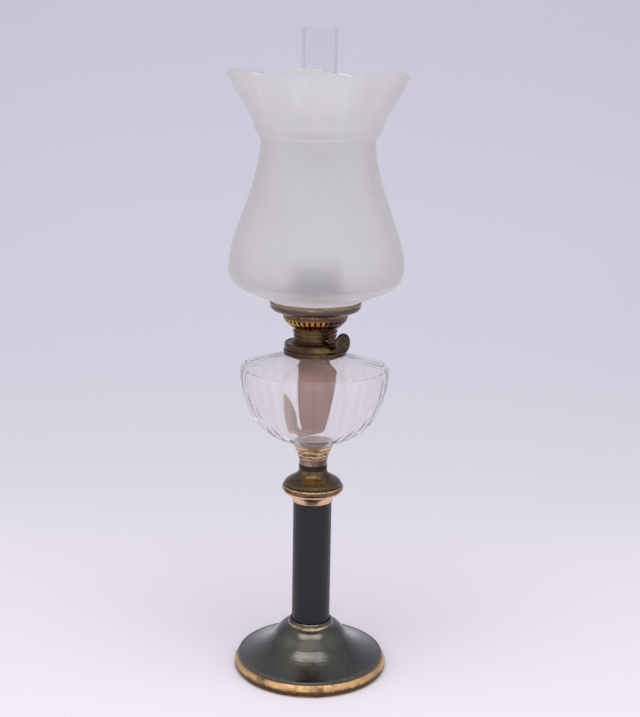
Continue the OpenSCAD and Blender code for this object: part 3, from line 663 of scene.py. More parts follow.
@dataclass(frozen=True)
class Cotton:
    """A flat woven cotton wick with painted light on its tail end, its weave laid on the strip's own UV map
    in metres.
    """

    name: str
    thread: Colour
    gap: Colour
    lit_tail: Colour
    lit_from: float
    rib_pitch: float
    pick_pitch: float

    def build(self) -> bpy.types.Material:
        """Builds the finish.

        Returns:
            The material.
        """
        material, g, shader = new_material(self.name)
        across, along, _ = g.parts(g.add("ShaderNodeUVMap", uv_map="weave").outputs[0])
        ribs = g.math("SINE", g.times(across, FULL_TURN / self.rib_pitch))
        picks = g.math("SINE", g.times(along, FULL_TURN / self.pick_pitch))
        weave = g.plus(g.times(ribs, 0.6), g.times(g.times(ribs, picks), 0.4))
        soil = g.noise(g.place(), 55.0, 5.0, 0.6)
        colour = g.mix(g.remap(weave, -1.0, 0.6), self.gap, self.thread)
        colour = g.mix(g.remap(soil, 0.5, 0.75, 0.0, 0.5), colour, self.gap)
        # Painted light: the tail end is paler.
        tail_light = g.remap(along, self.lit_from, self.lit_from + 0.02, 0.0, 0.9)
        g.fill(shader, {"Base Color": g.mix(tail_light, colour, self.lit_tail), "Roughness": 0.9,
                        "Sheen Weight": 0.25})
        g.emboss(shader, weave, 0.5, 0.0006)
        return material


@dataclass(frozen=True)
class Powdery:
    """A dull cast finish, such as plaster or rough iron, with pits and stains."""

    name: str
    colour: Colour
    stain: Colour
    roughness: float
    metallic: float
    grain: float

    def build(self) -> bpy.types.Material:
        """Builds the finish.

        Returns:
            The material.
        """
        material, g, shader = new_material(self.name)
        rough = min(1.0, self.roughness + 0.12)
        patina = PATINA.into(g, Metal=self.colour, Tarnish=self.stain, Worn=self.colour, Cloud=self.grain,
                             Cover=0.35, Polish=self.roughness, Dull=rough)
        g.fill(shader, {"Base Color": patina["Color"], "Roughness": patina["Roughness"],
                        "Metallic": self.metallic})
        g.emboss(shader, patina["Height"], 0.35, 0.0008)
        return material


def new_material(name: str) -> tuple[bpy.types.Material, Graph, bpy.types.Node]:
    """Starts a material.

    Args:
        name: the material's name.

    Returns:
        The material, its nodes and its shader.
    """
    material = bpy.data.materials.new(name)
    material.use_nodes = True
    shader = material.node_tree.nodes["Principled BSDF"]
    return material, Graph(material.node_tree), shader


def dress(finish: Finish, *nodes: str) -> None:
    """Gives nodes of the frame one finish.

    Args:
        finish: the finish, which is built once.
        nodes: the nodes' names.
    """
    material = finish.build()
    for node in nodes:
        mesh = NODES[node].data
        mesh.materials.clear()
        mesh.materials.append(material)
        LOG.info("dressed %s in %s", node, material.name)


def piece(name: str, bm: bmesh.types.BMesh, body: Body, finish: Finish,
          replaced: tuple[str, ...] = (), sharp: float = 40.0) -> bpy.types.Object:
    """Turns a bmesh into a piece that rides on a body.

    Args:
        name: the piece's name.
        bm: the mesh, which is freed.
        body: the body it rides on.
        finish: its finish.
        replaced: nodes of the frame that it stands for.
        sharp: the angle in degrees past which an edge stays crisp.

    Returns:
        The new object.
    """
    mesh = bpy.data.meshes.new(name)
    bm.to_mesh(mesh)
    bm.free()
    mesh.shade_smooth()
    mesh.set_sharp_from_angle(angle=math.radians(sharp))
    mesh.materials.append(finish.build())
    made = bpy.data.objects.new(name, mesh)
    bpy.context.scene.collection.objects.link(made)
    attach(made, body.value)
    if replaced:
        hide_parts(*replaced)
    LOG.info("made %s", name)
    return made


def ease(t: float) -> float:
    """Returns a smooth change from 0 to 1."""
    return t * t * (3.0 - 2.0 * t)


def curve(points: Outline, count: int) -> Outline:
    """Returns points on the curve of four control points, each a radius and a height."""
    corners = [Vector((r, 0.0, z)) for r, z in points]
    return [(p.x, p.z) for p in interpolate_bezier(*corners, count)]


def through(points: Outline, count: int) -> Outline:
    """Lays a smooth path through points.

    Args:
        points: radii and heights that the path passes through.
        count: steps between each two of them.

    Returns:
        The points of the path.
    """
    held = [points[0], *points, points[-1]]
    path: Outline = []
    for corners in zip(held, held[1:], held[2:], held[3:], strict=False):
        a, b, c, d = (Vector(p) for p in corners)
        square, cube = 2 * a - 5 * b + 4 * c - d, 3 * b - a - 3 * c + d
        for step in range(count):
            t = step / count
            p = 0.5 * (2 * b + (c - a) * t + square * t**2 + cube * t**3)
            path.append((p.x, p.y))
    return [*path, points[-1]]


def beside(path: Outline, reach: float) -> Outline:
    """Moves a path to its left.

    Args:
        path: radii and heights.
        reach: how far it moves.

    Returns:
        The moved path.
    """
    moved: Outline = []
    for i, (r, z) in enumerate(path):
        before, after = path[max(0, i - 1)], path[min(len(path) - 1, i + 1)]
        along = Vector((after[0] - before[0], after[1] - before[1])).normalized()
        moved.append((r - reach * along.y, z + reach * along.x))
    return moved


def turn(outline: Outline, steps: int, closed: bool = False) -> bmesh.types.BMesh:
    """Spins an outline round the lamp's axis.

    Args:
        outline: radii and heights, in metres.
        steps: steps in a full turn.
        closed: whether the outline's last point joins its first.

    Returns:
        The turned mesh, with its faces outwards.
    """
    bm = bmesh.new()
    verts = [bm.verts.new((r, 0.0, z)) for r, z in outline]
    pairs = list(zip(verts, verts[1:], strict=False)) + ([(verts[-1], verts[0])] if closed else [])
    edges = [bm.edges.new(pair) for pair in pairs]
    bmesh.ops.spin(bm, geom=verts + edges, cent=(0.0, 0.0, 0.0), axis=(0.0, 0.0, 1.0), dvec=(0.0, 0.0, 0.0),
                   angle=FULL_TURN, steps=steps, use_merge=True, use_duplicate=False)
    bmesh.ops.remove_doubles(bm, verts=bm.verts[:], dist=1e-6)
    bmesh.ops.recalc_face_normals(bm, faces=bm.faces[:])
    return bm


def shift(bm: bmesh.types.BMesh, rule: Callable[[float, float, float], tuple[float, float]]) -> None:
    """Moves each vertex out and up.

    Args:
        bm: the mesh.
        rule: gives the moves for a radius, an angle and a height.
    """
    for vert in bm.verts:
        radius = math.hypot(vert.co.x, vert.co.y)
        angle = math.atan2(vert.co.y, vert.co.x)
        out, up = rule(radius, angle, vert.co.z)
        grow = (radius + out) / radius if radius > 1e-6 else 1.0
        vert.co = Vector((vert.co.x * grow, vert.co.y * grow, vert.co.z + up))


@dataclass(frozen=True)
class SoftLight:
    """One soft light: where it stands, the width and height of its face in metres, and its watts."""

    name: str
    place: tuple[float, float, float]
    width: float
    height: float
    power: float


@dataclass
class Studio:
    """The pale sweep, the soft lights and the camera at the photograph's viewpoint, in metres and degrees."""

    camera_distance: float = 1.3106
    camera_height: float = 0.6432
    camera_side: float = 0.0057
    pitch: float = 12.21
    roll: float = 1.0
    focal_pixels: float = 1226.4
    long_side_pixels: float = 717.0
    sensor: float = 36.0
    sweep_half: float = 3.0
    sweep_back: float = 1.5
    sweep_front: float = 2.4
    cove: float = 0.9
    sweep_top: float = 2.6
    floor_colour: Colour = (0.765, 0.725, 0.775)
    far_colour: Colour = (0.595, 0.585, 0.648)
    wall_colour: Colour = (0.535, 0.54, 0.618)
    far_zone: tuple[float, float] = (0.05, 1.55)
    wall_zone: tuple[float, float] = (1.4, 2.6)
    room_light: Colour = (0.68, 0.68, 0.72)
    light_aim: float = 0.38
    lights: tuple[SoftLight, ...] = (
        SoftLight("window", (0.0, -1.8, 1.7), 2.6, 1.0, 7.0),
        SoftLight("left", (-1.9, -0.9, 0.9), 2.0, 2.0, 5.0),
        SoftLight("right", (1.9, -0.9, 0.9), 2.0, 2.0, 4.0),
        SoftLight("top", (0.0, -0.6, 2.4), 2.3, 1.1, 27.0),
        SoftLight("low", (0.0, -1.5, 0.3), 0.9, 0.9, 2.5),
    )

    def build(self) -> None:
        """Makes the sweep, the lights and the camera."""
        self.sweep()
        self.world()
        for light in self.lights:
            self.light(light)
        self.camera()

    def sweep(self) -> None:
        """Makes the floor that curves up into the backdrop."""
        back, cove = self.sweep_back, self.cove
        bm = bmesh.new()
        corner = curve([(back - cove, 0.0), (back - 0.4 * cove, 0.0), (back, 0.4 * cove), (back, cove)], 16)
        outline = [(-self.sweep_front, 0.0), *corner, (back, self.sweep_top)]
        verts = [bm.verts.new((-self.sweep_half, y, z)) for y, z in outline]
        edges = [bm.edges.new(pair) for pair in zip(verts, verts[1:], strict=False)]
        grown = bmesh.ops.extrude_edge_only(bm, edges=edges)["geom"]
        bmesh.ops.translate(bm, verts=[v for v in grown if isinstance(v, bmesh.types.BMVert)],
                            vec=(2.0 * self.sweep_half, 0.0, 0.0))
        bmesh.ops.recalc_face_normals(bm, faces=bm.faces[:])
        mesh = bpy.data.meshes.new("sweep")
        bm.to_mesh(mesh)
        bm.free()
        mesh.shade_smooth()
        mesh.materials.append(self.sweep_finish())
        made = bpy.data.objects.new("sweep", mesh)
        bpy.context.scene.collection.objects.link(made)

    def sweep_finish(self) -> bpy.types.Material:
        """Builds the sweep's paper, which is palest near the lamp.

        Returns:
            The material.
        """
        material, g, shader = new_material("pale_sweep")
        _, y, z = g.parts(g.place())
        depth = g.plus(y, z)
        far = g.mix(g.remap(depth, *self.far_zone), self.floor_colour, self.far_colour)
        g.fill(shader, {"Base Color": g.mix(g.remap(depth, *self.wall_zone), far, self.wall_colour),
                        "Roughness": 0.9, "Specular IOR Level": 0.1})
        return material

    def world(self) -> None:
        """Lights the room evenly from all round."""
        world = bpy.data.worlds.new("room")
        world.use_nodes = True
        ground = world.node_tree.nodes["Background"]
        ground.inputs["Color"].default_value = (*self.room_light, 1.0)
        ground.inputs["Strength"].default_value = 1.0
        bpy.context.scene.world = world

    def light(self, light: SoftLight) -> None:
        """Adds one soft light that faces the lamp.

        Args:
            light: its place, size and power.
        """
        lamp = bpy.data.lights.new(light.name, "AREA")
        lamp.energy = light.power
        lamp.shape = "RECTANGLE"
        lamp.size = light.width
        lamp.size_y = light.height
        made = bpy.data.objects.new(light.name, lamp)
        facing = (Vector((0.0, 0.0, self.light_aim)) - Vector(light.place)).to_track_quat("-Z", "Y")
        made.matrix_world = Matrix.Translation(light.place) @ facing.to_matrix().to_4x4()
        bpy.context.scene.collection.objects.link(made)

    def camera(self) -> None:
        """Sets the camera where the photograph was taken from."""
        data = bpy.data.cameras.new("camera")
        data.sensor_width = self.sensor
        data.lens = self.focal_pixels / self.long_side_pixels * self.sensor
        made = bpy.data.objects.new("camera", data)
        tilt = Matrix.Rotation(math.radians(90.0 - self.pitch), 4, "X")
        lean = Matrix.Rotation(math.radians(self.roll), 4, "Z")
        place = Matrix.Translation((self.camera_side, -self.camera_distance, self.camera_height))
        made.matrix_world = place @ tilt @ lean
        bpy.context.scene.collection.objects.link(made)
        bpy.context.scene.camera = made
        bpy.context.scene.view_settings.view_transform = "Standard"


@dataclass
class Stand:
    """The foot, the column and the brass that carries the fount."""

    bead_radius: float = 0.0258
    bead_level: float = 0.0525
    edge_radius: float = 0.0812
    edge_level: float = 0.0152
    capital_bore: float = 0.0218

    def build(self) -> None:
        """Dresses the stand's nodes, from the foot up."""
        self.dress_foot()
        self.dress_neck()
        self.dress_hidden()
        self.capital()

    def dress_foot(self) -> None:
        """Dresses the foot, its rim and the column."""
        bead = Ring(self.bead_radius, self.bead_level, 0.0016)
        edge = Ring(self.edge_radius, self.edge_level, 0.0011)
        dress(AgedMetal("foot_bronze", (0.085, 0.08, 0.064), (0.06, 0.058, 0.05), GOLD, cover=0.4,
                        polish=0.24, dull=0.3, cloud=14.0, lathe=0.05, bump=0.015, coat=0.5,
                        rings=(bead, edge)), "foot")
        # The rim is painted darker towards its bottom and in a thin ring where it meets the foot.
        dress(AgedMetal("rim_brass", (0.70, 0.43, 0.205), (0.10, 0.062, 0.034), (0.82, 0.60, 0.32),
                        cover=0.25, polish=0.28, dull=0.5, cloud=45.0, lathe=0.9, fine=520.0, bump=0.14,
                        rings=(Ring(0.0842, 0.0004, 0.0012),),
                        dark_rings=(Ring(0.0868, 0.004, 0.0052), Ring(0.0826, 0.0135, 0.0012))), "foot_rim")
        dress(Lacquer("column_black", (0.012, 0.011, 0.013), (0.045, 0.043, 0.045), 0.34), "column")

    def dress_neck(self) -> None:
        """Dresses the bead, the mount, the neck ring and the cup under the fount."""
        # A painted highlight rings the bead's upper shoulder; its dark rings are painted shade under the
        # mount's overhang and on its lower face.
        dress(AgedMetal("bead_bronze", (0.21, 0.13, 0.06), (0.075, 0.05, 0.03), (0.80, 0.55, 0.33),
                        cover=0.45, polish=0.2, dull=0.38, lathe=0.3, rings=(Ring(0.0338, 0.2159, 0.0011),),
                        dark_rings=(Ring(0.0322, 0.2098, 0.0032), Ring(0.0318, 0.2175, 0.0026))), "capital_bead")
        # A painted highlight: a golden patch low on the mount's front.
        front = Patch(-90.0, 40.0, 0.2265, 0.006, (0.30, 0.178, 0.052), 0.8)
        dress(AgedMetal("mount_bronze", (0.15, 0.105, 0.055), (0.075, 0.055, 0.034), GOLD, cover=0.5,
                        polish=0.22, dull=0.38, cloud=40.0, lathe=0.15, patches=(front,)), "fount_mount")
        dress(AgedMetal("neck_bronze", (0.13, 0.095, 0.06), (0.045, 0.036, 0.03), GOLD, cover=0.55,
                        polish=0.24, dull=0.45), "neck_ring")
        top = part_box("fount_cup")[1].z
        # Painted light on the cup: a highlight ring at its top edge, caustics below it, and a lighter tone on
        # its inside.
        dress(CausticMetal("cup_brass", (0.34, 0.24, 0.175), (0.10, 0.072, 0.055), (0.95, 0.66, 0.33),
                           cover=0.4, polish=0.16, dull=0.34, cloud=70.0, painted_inside=(0.7, 0.62, 0.54),
                           rings=(Ring(0.0226, top - 0.0012, 0.0026),), caustic_level=top - 0.007,
                           caustic_reach=0.012), "fount_cup")

    def dress_hidden(self) -> None:
        """Dresses what the foot, the column and the cup hide."""
        dress(Powdery("ballast_iron", (0.05, 0.05, 0.052), (0.09, 0.055, 0.035), 0.62, 0.8, 90.0), "ballast")
        dress(AgedMetal("rod_steel", (0.45, 0.45, 0.46), (0.14, 0.10, 0.07), (0.6, 0.6, 0.6), cover=0.4,
                        polish=0.3, dull=0.55), "tie_rod", "tie_washer", "tie_nut", "capital_nut")
        dress(Powdery("plaster_white", (0.82, 0.78, 0.72), (0.62, 0.55, 0.47), 0.85, 0.0, 120.0),
              "cup_plaster", "collar_plaster")

    def capital(self) -> None:
        """Makes the polished flare on the column and stands it in for the frame's capital."""
        low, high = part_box("capital")
        foot, top, wide, bore = low.z, high.z, high.x, self.capital_bore
        narrow = bore + 0.0009
        face = [(narrow - 0.0003, foot), (narrow, foot + 0.0003), (narrow, foot + 0.0012)]
        face += curve([(narrow - 0.0003, foot + 0.0016), (narrow + 0.0002, foot + 0.005),
                       (wide - 0.0075, top - 0.004), (wide - 0.003, top - 0.0026)], 14)
        face += [(wide - 0.0006, top - 0.0022), (wide, top - 0.0016), (wide, top)]
        bm = turn([(bore, foot), *face, (bore, top)], 128, closed=True)
        # A painted reflection: a dark band down the front of the flare.
        dark_reflection = Patch(-92.0, 30.0, 0.203, 0.008, (0.11, 0.058, 0.03), 0.97)
        brass = AgedMetal("capital_brass", (0.80, 0.56, 0.36), (0.28, 0.18, 0.105), (0.93, 0.70, 0.48),
                          cover=0.16, polish=0.12, dull=0.26, cloud=70.0, lathe=0.2, patches=(dark_reflection,))
        piece("capital_flare", bm, Body.STAND, brass, ("capital",), 35.0)


@dataclass
class Fount:
    """The ribbed glass reservoir, whose ribs show on both faces of the glass, in metres."""

    radius: float = 0.0813
    cup_top: float = 0.263
    bowl_height: float = 0.088
    shoulder_rise: float = 0.014
    neck_radius: float = 0.032
    neck_bore: float = 0.0294
    neck_height: float = 0.004
    seat_radius: float = 0.0196
    seat_depth: float = 0.0008
    plaster_radius: float = 0.02
    plaster_level: float = 0.2614
    wall: float = 0.0034
    floor: float = 0.0026
    rib_count: int = 30
    rib_depth: float = 0.0012
    rib_fade: float = 0.014
    groove_softness: float = 0.22
    steps_per_rib: int = 12

    def at(self, share: float, rise: float) -> tuple[float, float]:
        """Returns a point at a share of the bowl's radius and of its height."""
        return share * self.radius, self.cup_top + rise * self.bowl_height

    def corners(self) -> Outline:
        """Lists the points that the outer face passes through from the cup to the neck, without ribs.

        Returns:
            Their radii and heights.
        """
        bowl_top = self.cup_top + self.bowl_height
        neck_level = bowl_top + self.shoulder_rise
        shoulder_r, shoulder_z = self.at(0.93, 1.0)
        return [self.at(0.31, 0.022), self.at(0.47, 0.092), self.at(0.65, 0.188), self.at(0.788, 0.31),
                self.at(0.893, 0.484), self.at(0.958, 0.67), self.at(0.992, 0.84), self.at(0.998, 0.93),
                self.at(0.978, 1.0), (shoulder_r, shoulder_z + 0.0014),
                (0.5 * (self.radius + self.neck_radius), bowl_top + 0.47 * self.shoulder_rise),
                (self.neck_radius + 0.002, neck_level - 0.0004), (self.neck_radius, neck_level)]

    def rib(self, radius: float, angle: float, height: float) -> tuple[float, float]:
        """Finds how far the ribs move a point: round lobes with narrow grooves, which fade inwards.

        Args:
            radius: the point's distance from the axis.
            angle: its angle.
            height: its height, which makes no difference.

        Returns:
            The moves out and up.
        """
        strength = max(0.0, min(1.0, (radius - self.neck_radius - 0.001) / self.rib_fade))
        lobe = math.hypot(math.cos(0.5 * self.rib_count * angle), self.groove_softness)
        lobe /= math.hypot(1.0, self.groove_softness)
        return self.rib_depth * strength * (lobe - 0.5), 0.0

    def build(self) -> None:
        """Makes the glass and stands it in for the frame's fount."""
        corners = self.corners()
        face = through(corners, 6)
        neck_level = face[-1][1]
        neck_top = neck_level + self.neck_height
        seat = [(0.0, self.cup_top - self.seat_depth), (self.seat_radius, self.cup_top - self.seat_depth),
                (self.seat_radius + 0.0008, self.cup_top - 0.0002)]
        neck = [(self.neck_radius, neck_top), (self.neck_bore, neck_top),
                (self.neck_bore, neck_level - self.wall - 0.0004)]
        floor_level = self.cup_top + self.floor
        floor = [(0.0, floor_level), (0.14 * self.radius, floor_level + 0.0002)]
        inner = through([*floor, *beside(corners, self.wall)[1:-2]], 6)
        bm = turn(seat + face + neck + inner[::-1], self.rib_count * self.steps_per_rib)
        shift(bm, self.rib)
        glass = ClearGlass("fount_glass", (0.985, 0.967, 0.96), (0.91, 0.89, 0.905), hazy=0.05, ior=1.05,
                           clear=0.93, coat=0.6, ribs=self.rib_count)
        piece("fount_ribbed", bm, Body.STAND, glass, ("fount",), 50.0)
        self.plaster_bed()

    def plaster_bed(self) -> None:
        """Makes the bed of plaster, with oil stains, that shows through the glass above the cup."""
        wide, top = self.plaster_radius, self.plaster_level
        bm = turn([(0.0, top - 0.001), (wide - 0.001, top - 0.001), (wide, top), (wide, top + 0.0006),
                   (0.0, top + 0.0007)], 96)
        low_tone = Powdery("oiled_plaster", (0.93, 0.70, 0.61), (1.0, 0.88, 0.82), 0.8, 0.0, 160.0)
        piece("cup_bed", bm, Body.STAND, low_tone)


@dataclass(frozen=True)
class Row:
    """One row across the wick: its middle, the way the wick runs, the turn of its width, half its width."""

    middle: Vector
    along: Vector
    turn: float
    half: float

    def point(self, across: float, lift: float) -> Vector:
        """Returns a point at a share of the half width, lifted off the strip's middle."""
        side = Vector((math.cos(math.radians(self.turn)), math.sin(math.radians(self.turn)), 0.0))
        return self.middle + across * self.half * side + lift * self.along.cross(side)


@dataclass
class Wick:
    """The flat cotton wick: straight in its tube, then turned to the front, folded up and pointed."""

    width: float = 0.040
    thickness: float = 0.0021
    curl: float = 0.0007
    top: float = 0.441
    turn_level: float = 0.357
    turn_length: float = 0.014
    spread: float = 0.0008
    side: float = 0.003
    bend_level: float = 0.2782
    bend_radius: float = 0.0055
    lie_length: float = 0.0105
    lie_rise: float = 0.0025
    lift_radius: float = 0.0075
    tail_length: float = 0.036
    tail_width: float = 0.021
    tail_lean: float = 0.0085
    tail_start: float = 0.8
    tail_growth: float = 0.9
    tail_widest: float = 0.2
    tail_tip: float = 0.02
    burner_turn: float = -40.0
    fold_turn: float = 20.0
    fold_half: float = 0.0128
    tail_turn: float = 62.0
    lit_tail_length: float = 0.072
    across: int = 16
    along: int = 170

    def in_tube(self, t: float) -> Row:
        """Returns a row of the straight run in the wick tube."""
        level = self.top + (self.turn_level - self.top) * t
        return Row(Vector((0.0, 0.0, level)), Vector((0.0, 0.0, -1.0)), self.burner_turn, 0.5 * self.width)

    def turning(self, t: float) -> Row:
        """Finds a row of the run that turns to the front below the burner.

        Args:
            t: the share of the run that lies above.

        Returns:
            The row there.
        """
        middle = Vector((self.side * ease(t), 0.0, self.turn_level - self.turn_length * t))
        half = 0.5 * self.width + self.spread * ease(t)
        return Row(middle, Vector((0.0, 0.0, -1.0)), self.burner_turn * (1.0 - ease(t)), half)

    def hanging(self, t: float) -> Row:
        """Finds a row of the run that hangs down into the fount.

        Args:
            t: the share of the run that lies above.

        Returns:
            The row there.
        """
        start = self.turn_level - self.turn_length
        middle = Vector((self.side * (1.0 - ease(t)), 0.0, start + (self.bend_level - start) * t))
        broad = 0.5 * self.width + self.spread
        half = broad + (self.fold_half - broad) * t * t
        return Row(middle, Vector((0.0, 0.0, -1.0)), self.fold_turn * ease(t), half)

    def twist(self, share: float) -> float:
        """Returns the turn of the strip's width at a share of the way from the fold to the tail."""
        return self.fold_turn + (self.tail_turn - self.fold_turn) * share

    def folding(self, t: float) -> Row:
        """Finds a row of the sharp fold at the bottom of the fount.

        Args:
            t: the share of the run that lies above.

        Returns:
            The row there.
        """
        cos, sin = math.cos(QUARTER_TURN * t), math.sin(QUARTER_TURN * t)
        middle = Vector((-self.bend_radius * (1.0 - cos), 0.0, self.bend_level - self.bend_radius * sin))
        return Row(middle, Vector((-sin, 0.0, -cos)), self.twist(0.5 * ease(t)), self.fold_half)

    def lying(self, t: float) -> Row:
        """Finds a row of the run that lies above the fount's floor.

        Args:
            t: the share of the run that lies above.

        Returns:
            The row there.
        """
        level = self.bend_level - self.bend_radius + self.lie_rise * ease(t)
        middle = Vector((-self.bend_radius - self.lie_length * t, 0.0, level))
        half = self.fold_half + (0.5 * self.tail_start * self.tail_width - self.fold_half) * ease(t)
        return Row(middle, Vector((-1.0, 0.0, 0.0)), self.twist(0.5 + 0.5 * ease(t)), half)

    def lifting(self, t: float) -> Row:
        """Finds a row of the bend where the tail turns up.

        Args:
            t: the share of the bend that lies before it.

        Returns:
            The row there.
        """
        cos, sin = math.cos(QUARTER_TURN * t), math.sin(QUARTER_TURN * t)
        start = self.lying(1.0).middle
        middle = start + Vector((-self.lift_radius * sin, 0.0, self.lift_radius * (1.0 - cos)))
        return Row(middle, Vector((-cos, 0.0, sin)), self.tail_turn, 0.5 * self.tail_start * self.tail_width)

    def rising(self, t: float) -> Row:
        """Finds a row of the tail that rises to its point.

        Args:
            t: the share of the tail that lies before it.

        Returns:
            The row there.
        """
        middle = self.lifting(1.0).middle + Vector((-self.tail_lean * t, 0.0, self.tail_length * t))
        if t < self.tail_widest:
            leaf = self.tail_start + self.tail_growth * t
        else:
            past = (t - self.tail_widest) / (1.0 - self.tail_widest)
            leaf = (1.0 - self.tail_tip) * math.cos(QUARTER_TURN * past) + self.tail_tip
        return Row(middle, Vector((0.0, 0.0, 1.0)), self.tail_turn, 0.5 * self.tail_width * leaf)

    def runs(self) -> list[tuple[float, Callable[[float], Row]]]:
        """Lists the runs of the wick from its top to its tip.

        Returns:
            The length of each run, and the method that finds its rows.
        """
        hang = self.turn_level - self.turn_length - self.bend_level
        return [(self.top - self.turn_level, self.in_tube), (self.turn_length, self.turning),
                (hang, self.hanging), (QUARTER_TURN * self.bend_radius, self.folding),
                (self.lie_length, self.lying), (QUARTER_TURN * self.lift_radius, self.lifting),
                (self.tail_length, self.rising)]

    def row(self, share: float) -> Row:
        """Finds a row of the wick.

        Args:
            share: the share of the wick's length, from its top to its tip.

        Returns:
            The row there.
        """
        runs = self.runs()
        left = share * sum(length for length, _ in runs)
        for length, run in runs[:-1]:
            if left < length:
                return run(left / length)
            left -= length
        return self.rising(min(1.0, left / self.tail_length))

    def build(self) -> None:
        """Makes the strip, with its weave mapped in metres, and stands it in for the frame's wick."""
        bm = bmesh.new()
        bmesh.ops.create_grid(bm, x_segments=self.across, y_segments=self.along, size=0.5)
        weave = bm.loops.layers.uv.new("weave")
        length = sum(length for length, _ in self.runs())
        flat = {vert: (2.0 * vert.co.x, 0.5 - vert.co.y) for vert in bm.verts}
        for face in bm.faces:
            for loop in face.loops:
                across, share = flat[loop.vert]
                loop[weave].uv = (0.5 * across * self.width, share * length)
        for vert, (across, share) in flat.items():
            vert.co = self.row(share).point(across, -self.curl * abs(across) ** 3)
        cotton = Cotton("wick_cotton", (0.27, 0.088, 0.045), (0.19, 0.062, 0.03), (0.55, 0.38, 0.31),
                        length - self.lit_tail_length, rib_pitch=0.0014, pick_pitch=0.0011)
        made = piece("wick_strip", bm, Body.WICK, cotton, ("wick",), 80.0)
        wall = made.modifiers.new("thickness", "SOLIDIFY")
        wall.thickness = self.thickness
        wall.offset = 0.0


@dataclass
class Burner:
    """The brass burner: base, pierced basket, winder, gallery, chimney holder and deflector."""

    basket_radius: float = 0.0352
    bead_count: int = 72
    bead_radius: float = 0.0009
    bead_drop: float = 0.0012
    gallery_radius: float = 0.0497

    def build(self) -> None:
        """Dresses the burner's nodes and adds the beaded edge of the basket."""
        self.dress_base()
        self.dress_basket()
        self.dress_gallery()
        self.beads()

    def dress_base(self) -> None:
        """Dresses the collar, the base, the winder and the wick tube."""
        glints = (Patch(-72.0, 18.0, 0.374, 0.006, (0.24, 0.18, 0.05), 0.4),
                  Patch(-105.0, 40.0, 0.389, 0.006, (0.17, 0.125, 0.045), 0.6))
        # The collar's and the base's faces towards the axis take a painted shade.
        dress(AgedMetal("burner_brass", (0.10, 0.06, 0.034), (0.05, 0.032, 0.02), (0.42, 0.27, 0.13),
                        cover=0.45, polish=0.22, dull=0.4, cloud=30.0, patches=glints,
                        painted_inside=(0.02, 0.015, 0.012)), "fount_collar", "burner_base")
        dress(AgedMetal("winder_brass", (0.22, 0.145, 0.08), (0.10, 0.068, 0.04), (0.42, 0.27, 0.13),
                        cover=0.45, polish=0.22, dull=0.4, cloud=30.0),
              "shaft_bush", "winder_shaft", "spur_wheels")
        dress(AgedMetal("knob_brown", (0.14, 0.095, 0.062), (0.05, 0.036, 0.028), (0.5, 0.35, 0.2), cover=0.5,
                        polish=0.26, dull=0.46, cloud=90.0, lathe=0.0), "winder_knob")
        dress(AgedMetal("sooty_brass", (0.10, 0.075, 0.055), (0.025, 0.021, 0.019), (0.3, 0.22, 0.14),
                        cover=0.6, polish=0.34, dull=0.6), "wick_tube")

    def dress_basket(self) -> None:
        """Dresses the pierced basket, with painted light on its front left, painted shade on its right and a
        painted shadow under the gallery.
        """
        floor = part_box("air_basket")[0].z
        # Painted light and shade by side, a painted shadow under the gallery, and painted shade on faces
        # towards the axis.
        painted_light_and_shade = (Patch(-140.0, 40.0, floor + 0.006, 0.016, (0.62, 0.44, 0.09), 0.8),
                Patch(-32.0, 46.0, floor + 0.008, 0.03, (0.10, 0.045, 0.06), 0.92),
                Patch(-90.0, ALL_ROUND, floor + 0.0148, 0.0062, (0.11, 0.06, 0.04), 0.95))
        dress(PiercedMetal("basket_copper", (0.74, 0.29, 0.085), (0.23, 0.10, 0.05), (0.85, 0.46, 0.18),
                           cover=0.25, polish=0.24, dull=0.4, patches=painted_light_and_shade, painted_inside=(0.015, 0.011, 0.01),
                           low_row=floor + 0.0044, high_row=floor + 0.0094), "air_basket")

    def dress_gallery(self) -> None:
        """Dresses the gallery, the chimney holder and the deflector."""
        rim_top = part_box("shade_gallery")[1].z
        # The gallery's faces towards the axis take a painted shade, and it is painted darker round its lower
        # rim.
        dress(AgedMetal("gallery_dark", (0.36, 0.265, 0.155), (0.10, 0.08, 0.072), (0.34, 0.23, 0.115),
                        cover=0.25, polish=0.2, dull=0.42, painted_inside=(0.06, 0.045, 0.035),
                        rings=(Ring(self.gallery_radius, rim_top, 0.0012),),
                        dark_rings=(Ring(self.gallery_radius, rim_top - 0.006, 0.0055),)), "shade_gallery")
        dress(AgedMetal("holder_brass", (0.75, 0.62, 0.45), (0.42, 0.33, 0.22), GOLD, cover=0.2, polish=0.25,
                        dull=0.45), "chimney_holder")
        dome_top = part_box("deflector")[1].z
        # Soot darkens the top of the dome.
        dark_tone = Patch(-90.0, ALL_ROUND, dome_top - 0.008, 0.03, (0.012, 0.01, 0.01), 1.0)
        dress(AgedMetal("deflector_brass", (0.80, 0.72, 0.60), (0.5, 0.42, 0.32), (0.85, 0.75, 0.6),
                        cover=0.2, polish=0.25, dull=0.45, patches=(dark_tone,)), "deflector")

    def beads(self) -> None:
        """Sets a row of small beads round the top of the basket."""
        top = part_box("air_basket")[1].z
        bm = bmesh.new()
        for i in range(self.bead_count):
            spin = Matrix.Rotation(FULL_TURN * i / self.bead_count, 4, "Z")
            place = spin @ Matrix.Translation((self.basket_radius, 0.0, top - self.bead_drop))
            bmesh.ops.create_icosphere(bm, subdivisions=1, radius=self.bead_radius, matrix=place)
        brass = AgedMetal("bead_brass", (0.72, 0.58, 0.44), (0.22, 0.15, 0.10), GOLD, cover=0.3,
                          polish=0.25, dull=0.45)
        piece("basket_beads", bm, Body.BURNER, brass, (), 80.0)


